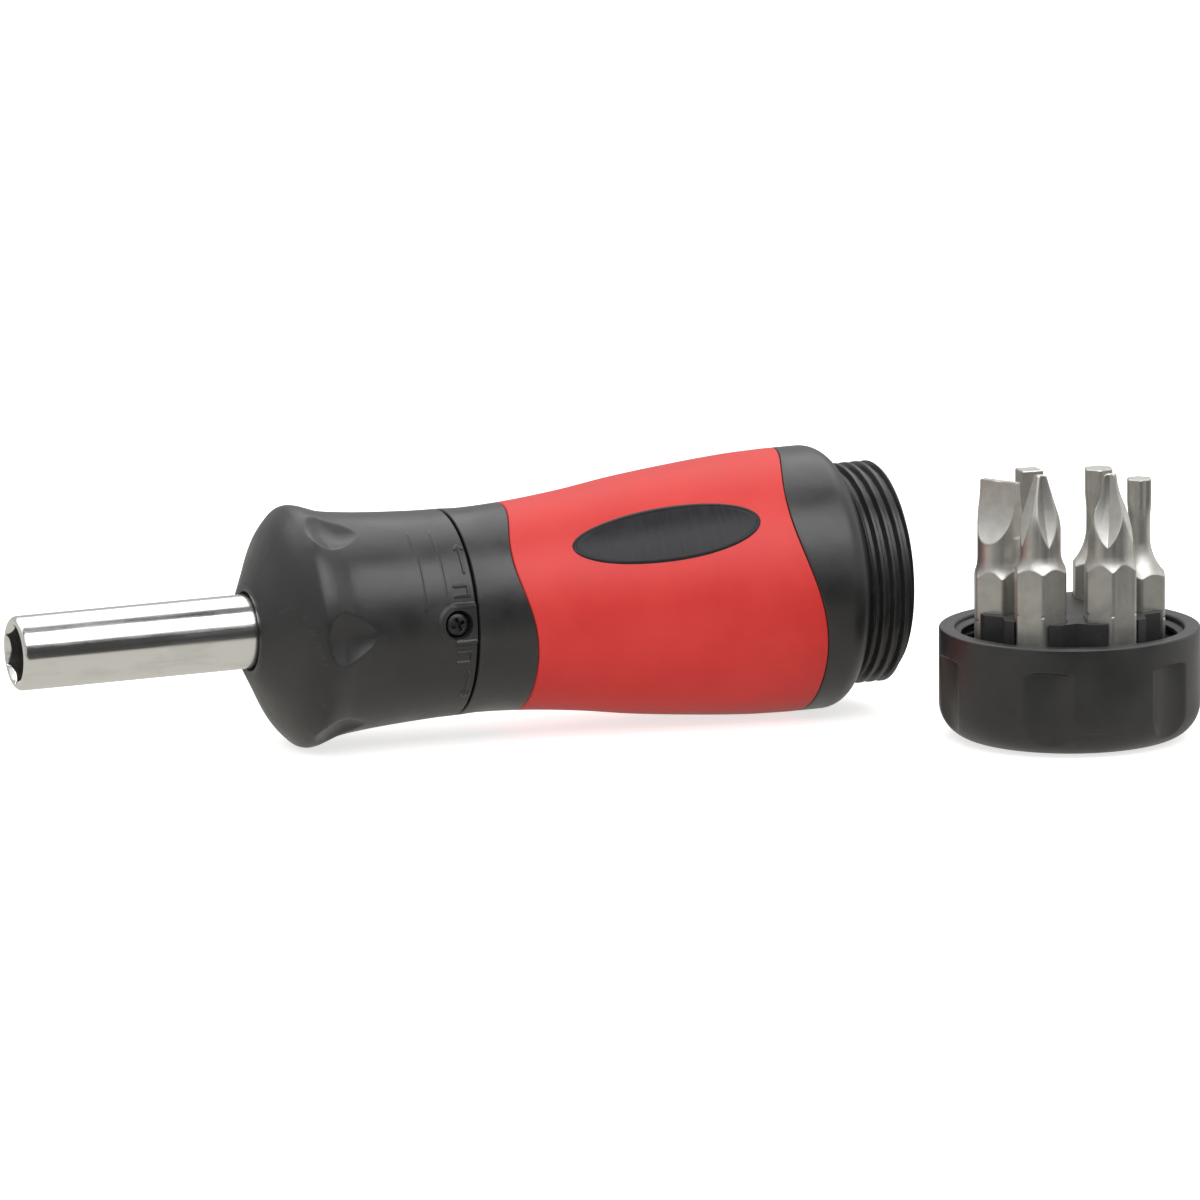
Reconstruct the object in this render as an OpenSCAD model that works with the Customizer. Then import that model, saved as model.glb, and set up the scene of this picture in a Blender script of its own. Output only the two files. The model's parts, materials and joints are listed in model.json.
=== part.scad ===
// Stubby ratcheting screwdriver with a screw-off cap that carries six driver bits.
// The driver lies on its collar and grip along X, and the cap stands open beside its rear end.

/* [Shaft] */
// Diameter of the shaft
shaft_d = 9.525; // [9.2:0.025:10.2]
// Length of shaft that stands out of the collar
shaft_reach = 31; // [22:0.5:60]
// Chamfer round the shaft's end
shaft_chamfer = 0.5; // [0.2:0.1:0.7]
// Diameter of the shaft's journal behind its shoulder
journal_d = 7; // [6.6:0.1:7.4]
// Width across the flats of a bit's shank
hex_w = 6.35; // [6.2:0.05:6.5]
// Depth of the hex socket
socket_depth = 12.7; // [8:0.1:15]
// Diameter of the magnet at the bottom of the socket
magnet_d = 4.8; // [4:0.1:5.4]
// Thickness of the magnet
magnet_t = 3; // [2:0.1:5]

/* [Collar] */
// Length of the selector collar
collar_len = 26.5; // [26:0.1:28.5]
// Diameter of the collar's front lip
collar_lip_d = 11.8; // [11.2:0.1:13]
// Diameter of the collar's ridge
collar_ridge_d = 31; // [29.5:0.1:33]
// Distance from the collar's front lip to its ridge
collar_ridge_at = 6.5; // [6:0.1:8]
// Diameter of the collar at its rear edge
collar_seam_d = 26.5; // [25.6:0.1:28]
// Bore of the collar over the handle's spigot
collar_bore_d = 22.5; // [22.2:0.1:22.9]
// Thickness of the wall at the collar's front
collar_front_t = 4.4; // [4:0.1:5]
// Number of thumb scallops behind the ridge
scallop_count = 6; // [4:1:8]
// Depth of a scallop below the ridge
scallop_depth = 1.7; // [1:0.1:2.2]
// Radius of a scallop's hollow
scallop_r = 7; // [5:0.5:10]
// Turn of the selector to either side, in degrees
selector_swing = 20; // [16:1:22]

/* [Ratchet] */
// Diameter over the gear's teeth
gear_tip_d = 12.8; // [12.6:0.1:13]
// Height of a gear tooth
gear_tooth_h = 0.9; // [0.8:0.05:1]
// Width of the gear along the shaft
gear_w = 3.9; // [3:0.1:4]
// Thickness of a pawl along the shaft
pawl_t = 4.5; // [4.2:0.1:4.8]
// Distance from the shaft's axis to a pawl's pin
pawl_pin_at = 8.6; // [8.5:0.05:8.7]
// Diameter of a pawl's pin
pawl_pin_d = 1.5; // [1.2:0.1:1.8]
// Swing of a pawl to either side, in degrees
pawl_swing = 8; // [7:0.5:8.5]
// Thickness of the cam ring
cam_t = 2.6; // [2:0.1:3]
// Thickness of the pawl carrier's plate
carrier_t = 3; // [2.5:0.1:3.5]
// Diameter of the pawl carrier's hub
carrier_hub_d = 12; // [11.4:0.1:12.6]
// Length of the pawl carrier's hub
carrier_hub_len = 9; // [7.5:0.1:9.5]

/* [Handle] */
// Length of the handle from the seam to the rear shoulder
handle_len = 52.5; // [48:0.1:56]
// Diameter of the handle at the seam
handle_front_d = 26.5; // [25.6:0.1:28]
// Diameter of the handle at its widest
handle_max_d = 34; // [32:0.1:38]
// Share of the handle's length at which it is widest
handle_max_share = 0.85; // [0.78:0.01:0.86]
// Rounding of the rear shoulder
shoulder_r = 3.2; // [2:0.1:3.6]
// Thickness of the soft grip
grip_t = 1.8; // [1.2:0.1:2.2]
// Distance from the seam to the grip's front edge beside the badge's side
grip_front_at = 8.1; // [6:0.1:9]
// Distance from the grip's rear edge to the rear shoulder
grip_rear_back = 6.2; // [5:0.1:8]
// Depth of the dip in the grip's front edge
grip_front_dip = 2.4; // [1:0.1:3]
// Depth of the dip in the grip's rear edge
grip_rear_dip = 3.8; // [2:0.1:4]
// Radius of the dips in the grip's edges
grip_dip_r = 25; // [20:1:40]
// Length of the badge
badge_len = 24.7; // [18:0.1:26]
// Width of the badge
badge_w = 8.4; // [6:0.1:9]
// Thickness of the badge
badge_t = 1; // [0.6:0.1:1.2]
// Share of the handle's length at which the badge has its middle
badge_share = 0.496; // [0.45:0.01:0.55]
// Length of the threaded neck
neck_len = 6.3; // [6:0.1:7.5]
// Diameter over the neck's thread
thread_d = 28.5; // [28.3:0.1:29]
// Depth of the thread
thread_h = 0.8; // [0.5:0.05:0.9]
// Pitch of the thread
thread_pitch = 1.5; // [1.4:0.05:1.6]
// Bore of the bit store inside the handle
store_d = 25.2; // [25:0.1:25.6]
// Depth of the bit store from the handle's open end
store_depth = 29; // [27:0.5:30]
// Bore of the narrow well at the bottom of the store
well_d = 19; // [16:0.5:20]
// Thickness of the wall between the ratchet and the well
core_wall_t = 7.4; // [4:0.1:12]

/* [Cap] */
// Outer diameter of the cap
cap_d = 33.4; // [33.4:0.1:35]
// Height of the cap
cap_h = 14.2; // [14:0.1:17]
// Bore of the cap inside its rim
cap_bore_d = 29.2; // [29:0.1:29.6]
// Thickness of the cap's base
cap_base_t = 2.4; // [2:0.1:3]
// Rounding of the cap's lower edge
cap_round_r = 4.5; // [3:0.1:5]
// Number of flutes round the cap
flute_count = 6; // [4:1:8]
// Width of a flute
flute_w = 6.8; // [5:0.1:8]
// Depth of a flute
flute_depth = 0.9; // [0.5:0.1:1.2]
// Height of plain rim above the flutes
flute_rim = 2.8; // [2:0.1:4]
// Height of the bit holder's top above the cap's rim
holder_rise = 2.2; // [1:0.1:3]
// Diameter of the bit holder
holder_d = 23.8; // [23.6:0.1:24]
// Wall of a bit cell
holder_wall = 1.3; // [1.25:0.05:1.4]
// Width of the slot in a bit cell's outer side
holder_slot_w = 4.9; // [4.8:0.1:5.2]
// Height of the cells' floor above the ground
holder_floor_z = 7.7; // [7:0.1:9]
// Height of the cross bits' seats above the other cells' floor
cross_seat_rise = 2.1; // [0:0.1:3]
// Radius of the ring of bits
bit_ring_r = 8.9; // [8.8:0.05:9]

/* [Bits] */
// Length of a bit
bit_len = 25.4; // [24:0.1:28]
// Length of a bit's hex shank
bit_hex_len = 13; // [11:0.1:14]
// Width of the wide slotted blade
blade_w = 5.5; // [4:0.1:5.8]
// Thickness of the wide slotted blade at its tip
blade_t = 1; // [0.6:0.1:1.4]
// Diameter of the small cross bit's round part
small_cross_d = 5.2; // [4.6:0.1:5.6]
// Diameter of the large cross bit's round part
large_cross_d = 5.8; // [5:0.1:6]
// Diameter of the small star tip
small_star_d = 3.3; // [2.4:0.1:3.6]
// Diameter of the large star tip
large_star_d = 3.8; // [3:0.1:4.4]
// Width across the flats of the square tip
square_w = 2.8; // [2.2:0.1:3.2]

/* [Standing place of the cap] */
// Distance along the driver from its open end to the cap's middle
cap_stand_gap = 15.4; // [15:0.1:40]
// Distance from the driver's axis to the cap's middle, towards the viewer
cap_stand_y = 28.8; // [24:0.1:40]
// Turn of the ring of bits about the cap's middle, in degrees
bit_ring_turn = -16; // [-60:1:60]
// Turn of the flutes about the cap's middle, in degrees
flute_turn = -0.5; // [-60:0.5:60]

/* [Hidden] */
$fn = 96;

// Clearances and the overrun of all cuts
run_gap = 0.04;
turn_gap = 0.05;
free_gap = 0.3;
seat_gap = 0.05;
face_gap = 0.1;
slide_gap = 0.1;
over = 0.5;

// Shaft values
shaft_r = shaft_d / 2;
journal_r = journal_d / 2;
socket_w = hex_w + 2 * turn_gap;
socket_corner_r = socket_w / 2 / cos(30);
socket_mouth = 0.4;
magnet_r = magnet_d / 2;
clip_t = 0.8;
clip_rim = 1.7;
clip_groove = 0.7;
clip_mouth = 3.6;
tail_len = 0.8;

// Collar values, along the axis from the shaft's tip
collar_front = shaft_reach;
collar_rear = collar_front + collar_len;
collar_ridge = collar_front + collar_ridge_at;
cavity_front = collar_front + collar_front_t;
collar_lip_r = collar_lip_d / 2;
ridge_r = collar_ridge_d / 2;
collar_seam_r = collar_seam_d / 2;
collar_bore_r = collar_bore_d / 2;
collar_nose_shares = [[0.248, 0.322], [0.565, 0.728], [0.86, 0.955]];
collar_fall_shares = [[0.05, 0.96], [0.1, 0.82], [0.195, 0.535], [0.35, 0.338], [0.555, 0.178],
                      [0.85, 0.03]];
scallop_back = 2.8;
scallop_turn = 87;

// Stack inside the collar, along the axis from the shaft's tip
cam_rear = cavity_front + cam_t;
pawl_front = cam_rear + face_gap + free_gap;
pawl_rear = pawl_front + pawl_t;
carrier_front = pawl_rear + face_gap;
carrier_rear = carrier_front + carrier_t;
hub_rear = carrier_rear + carrier_hub_len;
gear_rear = pawl_front + gear_w;
bush_flange_front = gear_rear + face_gap;
washer_t = 0.5;
washer_front = hub_rear + seat_gap;
clip_front = washer_front + washer_t + seat_gap;
clip_rear = clip_front + clip_t;
shaft_rear = clip_rear + tail_len;

// Gear values
gear_tooth_count = 24;
gear_tip_r = gear_tip_d / 2;
gear_root_r = gear_tip_r - gear_tooth_h;
tooth_pitch_a = 360 / gear_tooth_count;
tooth_top_share = 0.21;
tooth_base_share = 0.76;

// Pawl values, with angles from the plane between the two pawls
pawl_nose_tooth_count = 6.5;
pawl_arm_a = 42;
pawl_tail_arm_a = 32;
pawl_nose_a = pawl_nose_tooth_count * tooth_pitch_a;
pawl_pin_a = pawl_nose_a - pawl_arm_a;
pawl_tail_a = pawl_pin_a - pawl_tail_arm_a;
pawl_pin_r = pawl_pin_d / 2;
pawl_bore_r = pawl_pin_r + turn_gap;
pawl_boss_r = 1.5;
pawl_root_share = 0.65;
pawl_tail_at = 8.9;
pawl_tail_r = 0.85;
pawl_peg_r = 0.5;
pawl_bite = 0.6;
pawl_tip_w = 0.3;
pawl_wedge_h = 1.3;
pawl_wedge_half_a = 25;
pawl_nose_back = 2.5;
pawl_nose_w = 0.9;
cam_gap = 0.15;
cam_rim = 0.75;
cam_lobe_over_a = 6;
cam_lobe_a = pawl_tail_a + selector_swing + cam_lobe_over_a;
cam_step_a = 2;
cam_r = collar_bore_r - seat_gap;
cam_key_count = 3;
cam_key_w = 3;
cam_key_h = 1.2;
pawl_pin_spot = pawl_pin_at * [cos(pawl_pin_a), sin(pawl_pin_a)];
pawl_tail_spot = pawl_tail_at * [cos(pawl_tail_a), sin(pawl_tail_a)];
tail_arm = pawl_tail_spot - pawl_pin_spot;
tail_lift = (tail_arm.x * sin(pawl_tail_a) - tail_arm.y * cos(pawl_tail_a)) * sin(pawl_swing);
spring_wire_r = 0.2;
spring_coil_r = 0.9;
spring_turn_count = 5;
spring_side_count = 6;
spring_ring_count = 10;

// Carrier, bush and fastener values
spigot_r = collar_bore_r - turn_gap;
carrier_r = spigot_r - free_gap;
hub_r = carrier_hub_d / 2;
bush_r = 4.8;
bush_flange_r = 5.6;
front_bush_len = 5;
rear_bush_len = 4.5;
washer_r = 5.6;
carrier_screw_count = 3;
carrier_screw_at = 8.5;
carrier_screw_r = 1;
carrier_screw_head_r = 1.9;
carrier_screw_head_t = 1.2;
carrier_screw_len = 9;
cross_slot_w = 0.6;
cross_slot_len_share = 3;
cross_slot_depth_share = 0.7;
collar_screw_back = 2.35;
collar_screw_w = collar_rear - collar_screw_back;
collar_screw_turn = 86;
collar_screw_r = 0.8;
collar_screw_head_r = 1.4;
collar_screw_head_t = 1.1;
collar_screw_sunk = 0.3;
collar_screw_well_r = 1.8;
collar_screw_bite = 1.5;
screw_boss_r = 2.65;
screw_boss_h = 0.3;

// Detent spring values
detent_lead = 3.5;
detent_front = carrier_rear + detent_lead;
detent_w = 3;
detent_turn = collar_screw_turn + 180;
detent_t = 0.3;
detent_sink = 0.4;
detent_half_a = 22;
detent_free_a = 13;
detent_relief = 0.6;
detent_bump_r = 0.7;

// Handle values, along the axis from the shaft's tip
seam_w = free_gap;
handle_front = collar_rear + seam_w;
handle_rear = handle_front + handle_len;
neck_rear = handle_rear + neck_len;
handle_front_r = handle_front_d / 2;
handle_max_r = handle_max_d / 2;
handle_max_at = handle_max_share * handle_len;
handle_swell_shares = [[0, 0], [0.072, -0.03], [0.211, 0.053], [0.373, 0.256], [0.535, 0.544],
                       [0.72, 0.787], [0.882, 0.949], [1, 1]];
thread_r = thread_d / 2;
thread_root_r = thread_r - thread_h;
thread_lead = 1.6;
thread_top_share = 0.25;
thread_base_share = 0.75;
store_r = store_d / 2;
store_floor = neck_rear - store_depth;
well_r = well_d / 2;
clip_room = shaft_rear + over;
well_floor = clip_room + core_wall_t;
grip_front = handle_front + grip_front_at;
grip_rear = handle_rear - grip_rear_back;
badge_turn = 50;
badge_mid = handle_front + badge_share * handle_len;
badge_proud = 0.1;
badge_taper_share = 0.06;
badge_step_count = 40;
curve_step_count = 4;
arc_step_count = 6;

// Cap and bit values
cap_r = cap_d / 2;
cap_bore_r = cap_bore_d / 2;
cap_thread_lead = 1.4;
cap_thread_count = 3;
flute_r = (flute_w * flute_w / 4 + flute_depth * flute_depth) / (2 * flute_depth);
holder_r = holder_d / 2;
holder_top = cap_h + holder_rise;
holder_hub_r = 5;
holder_hub_dip = 0.5;
cell_w = hex_w + 2 * slide_gap;
bit_count = 6;
bit_pitch_a = 360 / bit_count;
small_star_turn = 0;
large_star_turn = bit_pitch_a;
square_turn = 2 * bit_pitch_a;
wide_slotted_turn = 3 * bit_pitch_a;
small_cross_turn = 4 * bit_pitch_a;
large_cross_turn = 5 * bit_pitch_a;
bit_chamfer = 0.5;
bit_nick_at = 7;
bit_nick_r = 0.7;
bit_flare_shares = [[0, 1], [0.12, 0.72], [0.3, 0.42], [0.55, 0.16], [0.8, 0.03], [1, 0]];
short_flare_h = 3.1;
long_flare_h = 5.5;
blade_neck_d = 5.8;
blade_len = 8.4;
blade_hollow_r = 14;
blade_tip_turn = -70;
small_cross_tip_turn = -25;
large_cross_tip_turn = -55;
cross_point_r = 0.7;
cross_cone_len = 6;
cross_flute_len = 8.5;
cross_flute_w = 3.4;
cross_wing_t = 0.9;
star_len = 3.6;
star_lobe_count = 6;
star_lobe_share = 0.12;
star_neck_share = 0.84;
star_step_count = 48;
square_len = 7;
square_neck_share = 1.05;

// Resting pose: the collar's ridge and the grip both touch the ground
cap_stand_x = neck_rear + cap_stand_gap;
rest_slope = max([for (p = handle_curve()) (p.y - ridge_r) / (p.x - collar_ridge)]);
rest_tilt = atan(rest_slope);
axis_z = ridge_r * cos(rest_tilt) - collar_ridge * sin(rest_tilt);
low_x = -(shaft_r - shaft_chamfer) * sin(rest_tilt);
mid_x = (low_x + cap_stand_x + cap_r) / 2;
mid_y = (handle_max_r - cap_stand_y - cap_r) / 2;

// Slope of a curve through points at one of them
function slope_at(c, i) =
  let (a = max(0, i - 1), b = min(len(c) - 1, i + 1))
  (c[b].y - c[a].y) / (c[b].x - c[a].x);

// Height of a smooth curve between point i and the next, at share t of the way
function between(c, i, t) =
  let (h = c[i + 1].x - c[i].x)
  (2 * t ^ 3 - 3 * t ^ 2 + 1) * c[i].y + (t ^ 3 - 2 * t ^ 2 + t) * h * slope_at(c, i)
  + (3 * t ^ 2 - 2 * t ^ 3) * c[i + 1].y + (t ^ 3 - t ^ 2) * h * slope_at(c, i + 1);

// Smooth curve through points of place and radius
function curve(c) = [
  for (i = [0 : len(c) - 2], k = [0 : curve_step_count - 1])
    let (t = k / curve_step_count)
    [c[i].x + t * (c[i + 1].x - c[i].x), between(c, i, t)],
  c[len(c) - 1]
];

// Outline of the collar from its lip over the ridge to the seam
function collar_curve() = curve([
  [collar_front, collar_lip_r],
  for (s = collar_nose_shares)
    [collar_front + s.x * collar_ridge_at, collar_lip_r + s.y * (ridge_r - collar_lip_r)],
  [collar_ridge, ridge_r],
  for (s = collar_fall_shares)
    [collar_ridge + s.x * (collar_rear - collar_ridge),
     collar_seam_r + s.y * (ridge_r - collar_seam_r)],
  [collar_rear, collar_seam_r]
]);

// Outline of the handle from the seam to its widest place and round the rear shoulder
function handle_curve() = concat(
  curve([for (s = handle_swell_shares)
    [handle_front + s.x * handle_max_at, handle_front_r + s.y * (handle_max_r - handle_front_r)]]),
  [for (k = [0 : arc_step_count])
    let (a = 90 * (1 - k / arc_step_count))
    [handle_rear - shoulder_r + shoulder_r * cos(a), handle_max_r - shoulder_r + shoulder_r * sin(a)]]
);

// Radius of the collar's outside at a place along the axis
function collar_r_at(w) = lookup(w, collar_curve());

// Radius of the handle's outside at a place along the axis
function handle_r_at(w) = lookup(w, handle_curve());

// Stretch of the handle's outline between two places along the axis
function handle_stretch(from, to) = [
  [from, handle_r_at(from)],
  for (p = handle_curve()) if (p.x > from && p.x < to) p,
  [to, handle_r_at(to)]
];

// Lays the driver down along X, with its upper side towards its own X and the viewer's side towards its Y
module lay_down() {
  translate([-mid_x, -mid_y, axis_z]) rotate([0, 90 - rest_tilt, 0]) rotate([0, 0, 180]) children();
}

// Puts the cap and its bits where they stand
module stand_cap() {
  translate([cap_stand_x - mid_x, -cap_stand_y - mid_y, 0]) children();
}

module rod(r, from, to) {
  translate([0, 0, from]) cylinder(h = to - from, r = r);
}

module taper(r_from, r_to, from, to) {
  translate([0, 0, from]) cylinder(h = to - from, r1 = r_from, r2 = r_to);
}

module tube(r_out, r_in, from, to) {
  difference() {
    rod(r_out, from, to);
    rod(r_in, from - over, to + over);
  }
}

module hex_rod(w, from, to) {
  translate([0, 0, from]) cylinder(h = to - from, r = w / 2 / cos(30), $fn = 6);
}

// Block bent round the axis, between two radii and two angles
module bent_block(r_in, r_out, from, to, from_a, to_a) {
  rotate([0, 0, from_a]) rotate_extrude(angle = to_a - from_a)
    translate([r_in, from]) square([r_out - r_in, to - from]);
}

// Solid of revolution under a curve of place and radius, made larger by a margin
module turned(c, margin) {
  rotate_extrude() polygon(concat(
    [[0, c[0].x]],
    [for (p = c) [p.y + margin, p.x]],
    [[0, c[len(c) - 1].x]]
  ));
}

// Puts children on a radius at an angle, with their Z pointing outwards
module outwards(w, a) {
  translate([0, 0, w]) rotate([0, 0, a]) rotate([0, 90, 0]) children();
}

// Two crossed slots for a driver's point
module cross_slots(w, depth) {
  half = w * cross_slot_len_share / 2;
  for (a = [0, 90]) rotate([0, 0, a]) translate([-half, -w / 2, 0]) cube([2 * half, w, depth]);
}

module drive_shaft() {
  color("gainsboro") lay_down() difference() {
    union() {
      taper(shaft_r - shaft_chamfer, shaft_r, 0, shaft_chamfer);
      rod(shaft_r, shaft_chamfer, pawl_front);
      rod(journal_r, pawl_front, shaft_rear);
    }
    hex_rod(socket_w, -over, socket_depth);
    taper(socket_corner_r + socket_mouth, socket_corner_r - socket_mouth, -socket_mouth, socket_mouth);
    rod(magnet_r, socket_depth - over, socket_depth + magnet_t);
    tube(journal_r + over, journal_r - clip_groove, clip_front, clip_rear);
  }
}

module bit_magnet() {
  color("dimgray") lay_down() rod(magnet_r, socket_depth, socket_depth + magnet_t);
}

module ratchet_gear() {
  half_top = tooth_pitch_a * tooth_top_share / 2;
  half_base = tooth_pitch_a * tooth_base_share / 2;
  color("darkgray") lay_down() difference() {
    translate([0, 0, pawl_front]) linear_extrude(gear_w) polygon([
      for (k = [0 : gear_tooth_count - 1], s = [[-half_base, gear_root_r], [-half_top, gear_tip_r],
                                          [half_top, gear_tip_r], [half_base, gear_root_r]])
        let (a = (k + 0.5) * tooth_pitch_a + pawl_nose_a + s.x)
        s.y * [cos(a), sin(a)]
    ]);
    rod(journal_r, pawl_front - over, gear_rear + over);
  }
}

module shaft_clip() {
  color("slategray") lay_down() difference() {
    tube(journal_r + clip_rim, journal_r - clip_groove, clip_front, clip_rear);
    translate([0, -clip_mouth / 2, clip_front - over])
      cube([journal_r + clip_rim + over, clip_mouth, clip_t + 2 * over]);
  }
}

module selector_collar() {
  color("#2b2b2d") lay_down() difference() {
    union() {
      turned(collar_curve(), 0);
      intersection() {
        turned(collar_curve(), screw_boss_h);
        outwards(collar_screw_w, collar_screw_turn) cylinder(h = ridge_r, r = screw_boss_r);
        rod(ridge_r, collar_front, collar_rear);
      }
    }
    rod(shaft_r + free_gap, collar_front - over, cavity_front + over);
    rod(collar_bore_r, cavity_front, collar_rear + over);
    for (k = [0 : scallop_count - 1])
      outwards(collar_ridge + scallop_back, scallop_turn + k * 360 / scallop_count)
        translate([0, 0, ridge_r - scallop_depth + scallop_r]) rotate([90, 0, 0]) sphere(r = scallop_r);
    outwards(collar_screw_w, collar_screw_turn) {
      cylinder(h = ridge_r, r = collar_screw_r);
      translate([0, 0, collar_r_at(collar_screw_w) - collar_screw_sunk - collar_screw_head_t])
        cylinder(h = ridge_r, r = collar_screw_well_r);
    }
    for (k = [0 : cam_key_count - 1])
      rotate([0, 0, k * 360 / cam_key_count]) cam_key(seat_gap);
    for (a = [-selector_swing, 0, selector_swing])
      rotate([0, 0, detent_turn + a]) translate([spigot_r - detent_sink, 0, detent_front - over])
        cylinder(h = detent_w + 2 * over, r = detent_bump_r + detent_t + cam_gap);
  }
}

// Key of the cam ring, or its keyway with a gap round it
module cam_key(gap) {
  translate([cam_r - cam_key_h, -cam_key_w / 2 - gap, cavity_front])
    cube([2 * cam_key_h + gap, cam_key_w + 2 * gap, cam_t + gap]);
}

// Inner edge of the cam ring: two spiral lobes that push the pawls' pegs inwards
function cam_edge(a) =
  let (rim = cam_r - cam_rim,
       spiral = pawl_tail_at + pawl_peg_r + cam_gap + tail_lift * (pawl_tail_a - abs(a)) / selector_swing)
  abs(a) > cam_lobe_a ? rim : min(rim, spiral);

module cam_ring() {
  color("ivory") lay_down() difference() {
    union() {
      rod(cam_r, cavity_front, cam_rear);
      for (k = [0 : cam_key_count - 1]) rotate([0, 0, k * 360 / cam_key_count]) cam_key(0);
    }
    translate([0, 0, cavity_front - over]) linear_extrude(cam_t + 2 * over)
      polygon([for (a = [-180 : cam_step_a : 180 - cam_step_a]) cam_edge(a) * [cos(a), sin(a)]]);
  }
}

module collar_screw() {
  head_top = collar_r_at(collar_screw_w) - collar_screw_sunk;
  head_base = head_top - collar_screw_head_t;
  color("#1b1b1c") lay_down() outwards(collar_screw_w, collar_screw_turn) difference() {
    union() {
      rod(collar_screw_r, spigot_r - collar_screw_bite, head_base + over);
      rod(collar_screw_head_r, head_base, head_top);
    }
    translate([0, 0, head_top - collar_screw_head_t * cross_slot_depth_share])
      cross_slots(cross_slot_w, collar_screw_head_t);
  }
}

// Places of the carrier's screws
module at_carrier_screws() {
  for (k = [0 : carrier_screw_count - 1])
    rotate([0, 0, k * 360 / carrier_screw_count]) translate([carrier_screw_at, 0, carrier_front]) children();
}

// One countersunk screw with its head at the carrier's front face
module carrier_screw(extra) {
  taper(carrier_screw_head_r, carrier_screw_r, 0, carrier_screw_head_t);
  rod(carrier_screw_r, 0, carrier_screw_len + extra);
}

// Places of the two pawl pins
module at_pawl_pins() {
  for (s = [-1, 1]) rotate([0, 0, s * pawl_pin_a]) translate([pawl_pin_at, 0, 0]) children();
}

module pawl_carrier() {
  color("silver") lay_down() difference() {
    union() {
      rod(carrier_r, carrier_front, carrier_rear);
      rod(hub_r, carrier_rear, hub_rear);
    }
    rod(bush_r, carrier_front - over, hub_rear + over);
    at_carrier_screws() carrier_screw(0);
    at_pawl_pins() rod(pawl_pin_r, carrier_front - over, carrier_rear + over);
  }
}

module carrier_screws() {
  color("slategray") lay_down() at_carrier_screws() difference() {
    carrier_screw(0);
    cross_slots(cross_slot_w, carrier_screw_head_t * cross_slot_depth_share);
  }
}

module front_bush() {
  color("darkgoldenrod") lay_down() difference() {
    union() {
      rod(bush_flange_r, bush_flange_front, carrier_front);
      rod(bush_r, carrier_front, carrier_front + front_bush_len);
    }
    rod(journal_r + run_gap, bush_flange_front - over, carrier_front + front_bush_len + over);
  }
}

module rear_bush() {
  color("darkgoldenrod") lay_down() tube(bush_r, journal_r + run_gap, hub_rear - rear_bush_len, hub_rear);
}

module rear_washer() {
  color("lightsteelblue") lay_down()
    tube(washer_r, journal_r + turn_gap, washer_front, washer_front + washer_t);
}

module pawl_pins() {
  color("gray") lay_down() at_pawl_pins() rod(pawl_pin_r, pawl_front + face_gap, carrier_rear);
}

// Point turned about the pawl's pin
function about_pin(p, a) =
  pawl_pin_spot + [[cos(a), -sin(a)], [sin(a), cos(a)]] * (p - pawl_pin_spot);

// Points on an arc from one angle to another
function arc(mid, r, from_a, to_a) = [
  for (k = [0 : arc_step_count])
    let (a = from_a + (to_a - from_a) * k / arc_step_count)
    mid + r * [cos(a), sin(a)]
];

// Outline of a pawl half way between its ends, with its nose clear of the teeth
module pawl_outline() {
  nose_r = gear_tip_r - pawl_bite;
  base_half_w = pawl_tip_w / 2 + pawl_wedge_h * tan(pawl_wedge_half_a);
  out = [cos(pawl_nose_a), sin(pawl_nose_a)];
  on = [-sin(pawl_nose_a), cos(pawl_nose_a)];
  to_nose = nose_r * out - pawl_pin_spot;
  nose_dir = atan2(to_nose.y, to_nose.x) + 360 - pawl_swing;
  tail_dir = atan2(tail_arm.y, tail_arm.x);
  nose_edge = asin(pawl_root_share);
  tail_edge = asin(pawl_tail_r / pawl_boss_r);
  polygon(concat(
    [for (p = [nose_r * out - pawl_tip_w / 2 * on,
               nose_r * out + pawl_tip_w / 2 * on,
               (nose_r + pawl_wedge_h) * out + base_half_w * on,
               (nose_r + pawl_nose_back) * out + pawl_nose_w * on])
      about_pin(p, -pawl_swing)],
    arc(pawl_pin_spot, pawl_boss_r, nose_dir - nose_edge, tail_dir + tail_edge),
    arc(pawl_tail_spot, pawl_tail_r, tail_dir + 90, tail_dir - 90),
    arc(pawl_pin_spot, pawl_boss_r, tail_dir + 360 - tail_edge, nose_dir + nose_edge),
    [about_pin((nose_r + pawl_wedge_h) * out - base_half_w * on, -pawl_swing)]
  ));
}

// Pawl with the peg that the cam pushes
module pawl() {
  difference() {
    union() {
      translate([0, 0, pawl_front]) linear_extrude(pawl_t) pawl_outline();
      translate(pawl_tail_spot) rod(pawl_peg_r, cavity_front + free_gap, pawl_front + over);
    }
    translate(pawl_pin_spot) rod(pawl_bore_r, pawl_front - over, pawl_rear + over);
  }
}

module reverse_pawl() {
  color("darkslategray") lay_down() pawl();
}

module forward_pawl() {
  color("darkslategray") lay_down() mirror([0, 1, 0]) pawl();
}

// Round wire wound about Z, closed at both ends, as rings of points joined by triangles
module coil(length, coil_r, wire_r, turns) {
  rings = turns * spring_ring_count;
  last = rings * spring_side_count;
  points = [
    for (i = [0 : rings], j = [0 : spring_side_count - 1])
      let (a = 360 * i / spring_ring_count, b = 360 * j / spring_side_count, r = coil_r + wire_r * cos(b))
      [r * cos(a), r * sin(a), wire_r + (length - 2 * wire_r) * i / rings + wire_r * sin(b)]
  ];
  sides = [
    for (i = [0 : rings - 1], j = [0 : spring_side_count - 1])
      let (n = (j + 1) % spring_side_count, p = i * spring_side_count, q = p + spring_side_count)
      each [[p + j, q + n, p + n], [p + j, q + j, q + n]]
  ];
  ends = [
    for (j = [1 : spring_side_count - 2])
      each [[0, j, j + 1], [last, last + j + 1, last + j]]
  ];
  polyhedron(points = points, faces = concat(sides, ends));
}

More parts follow.
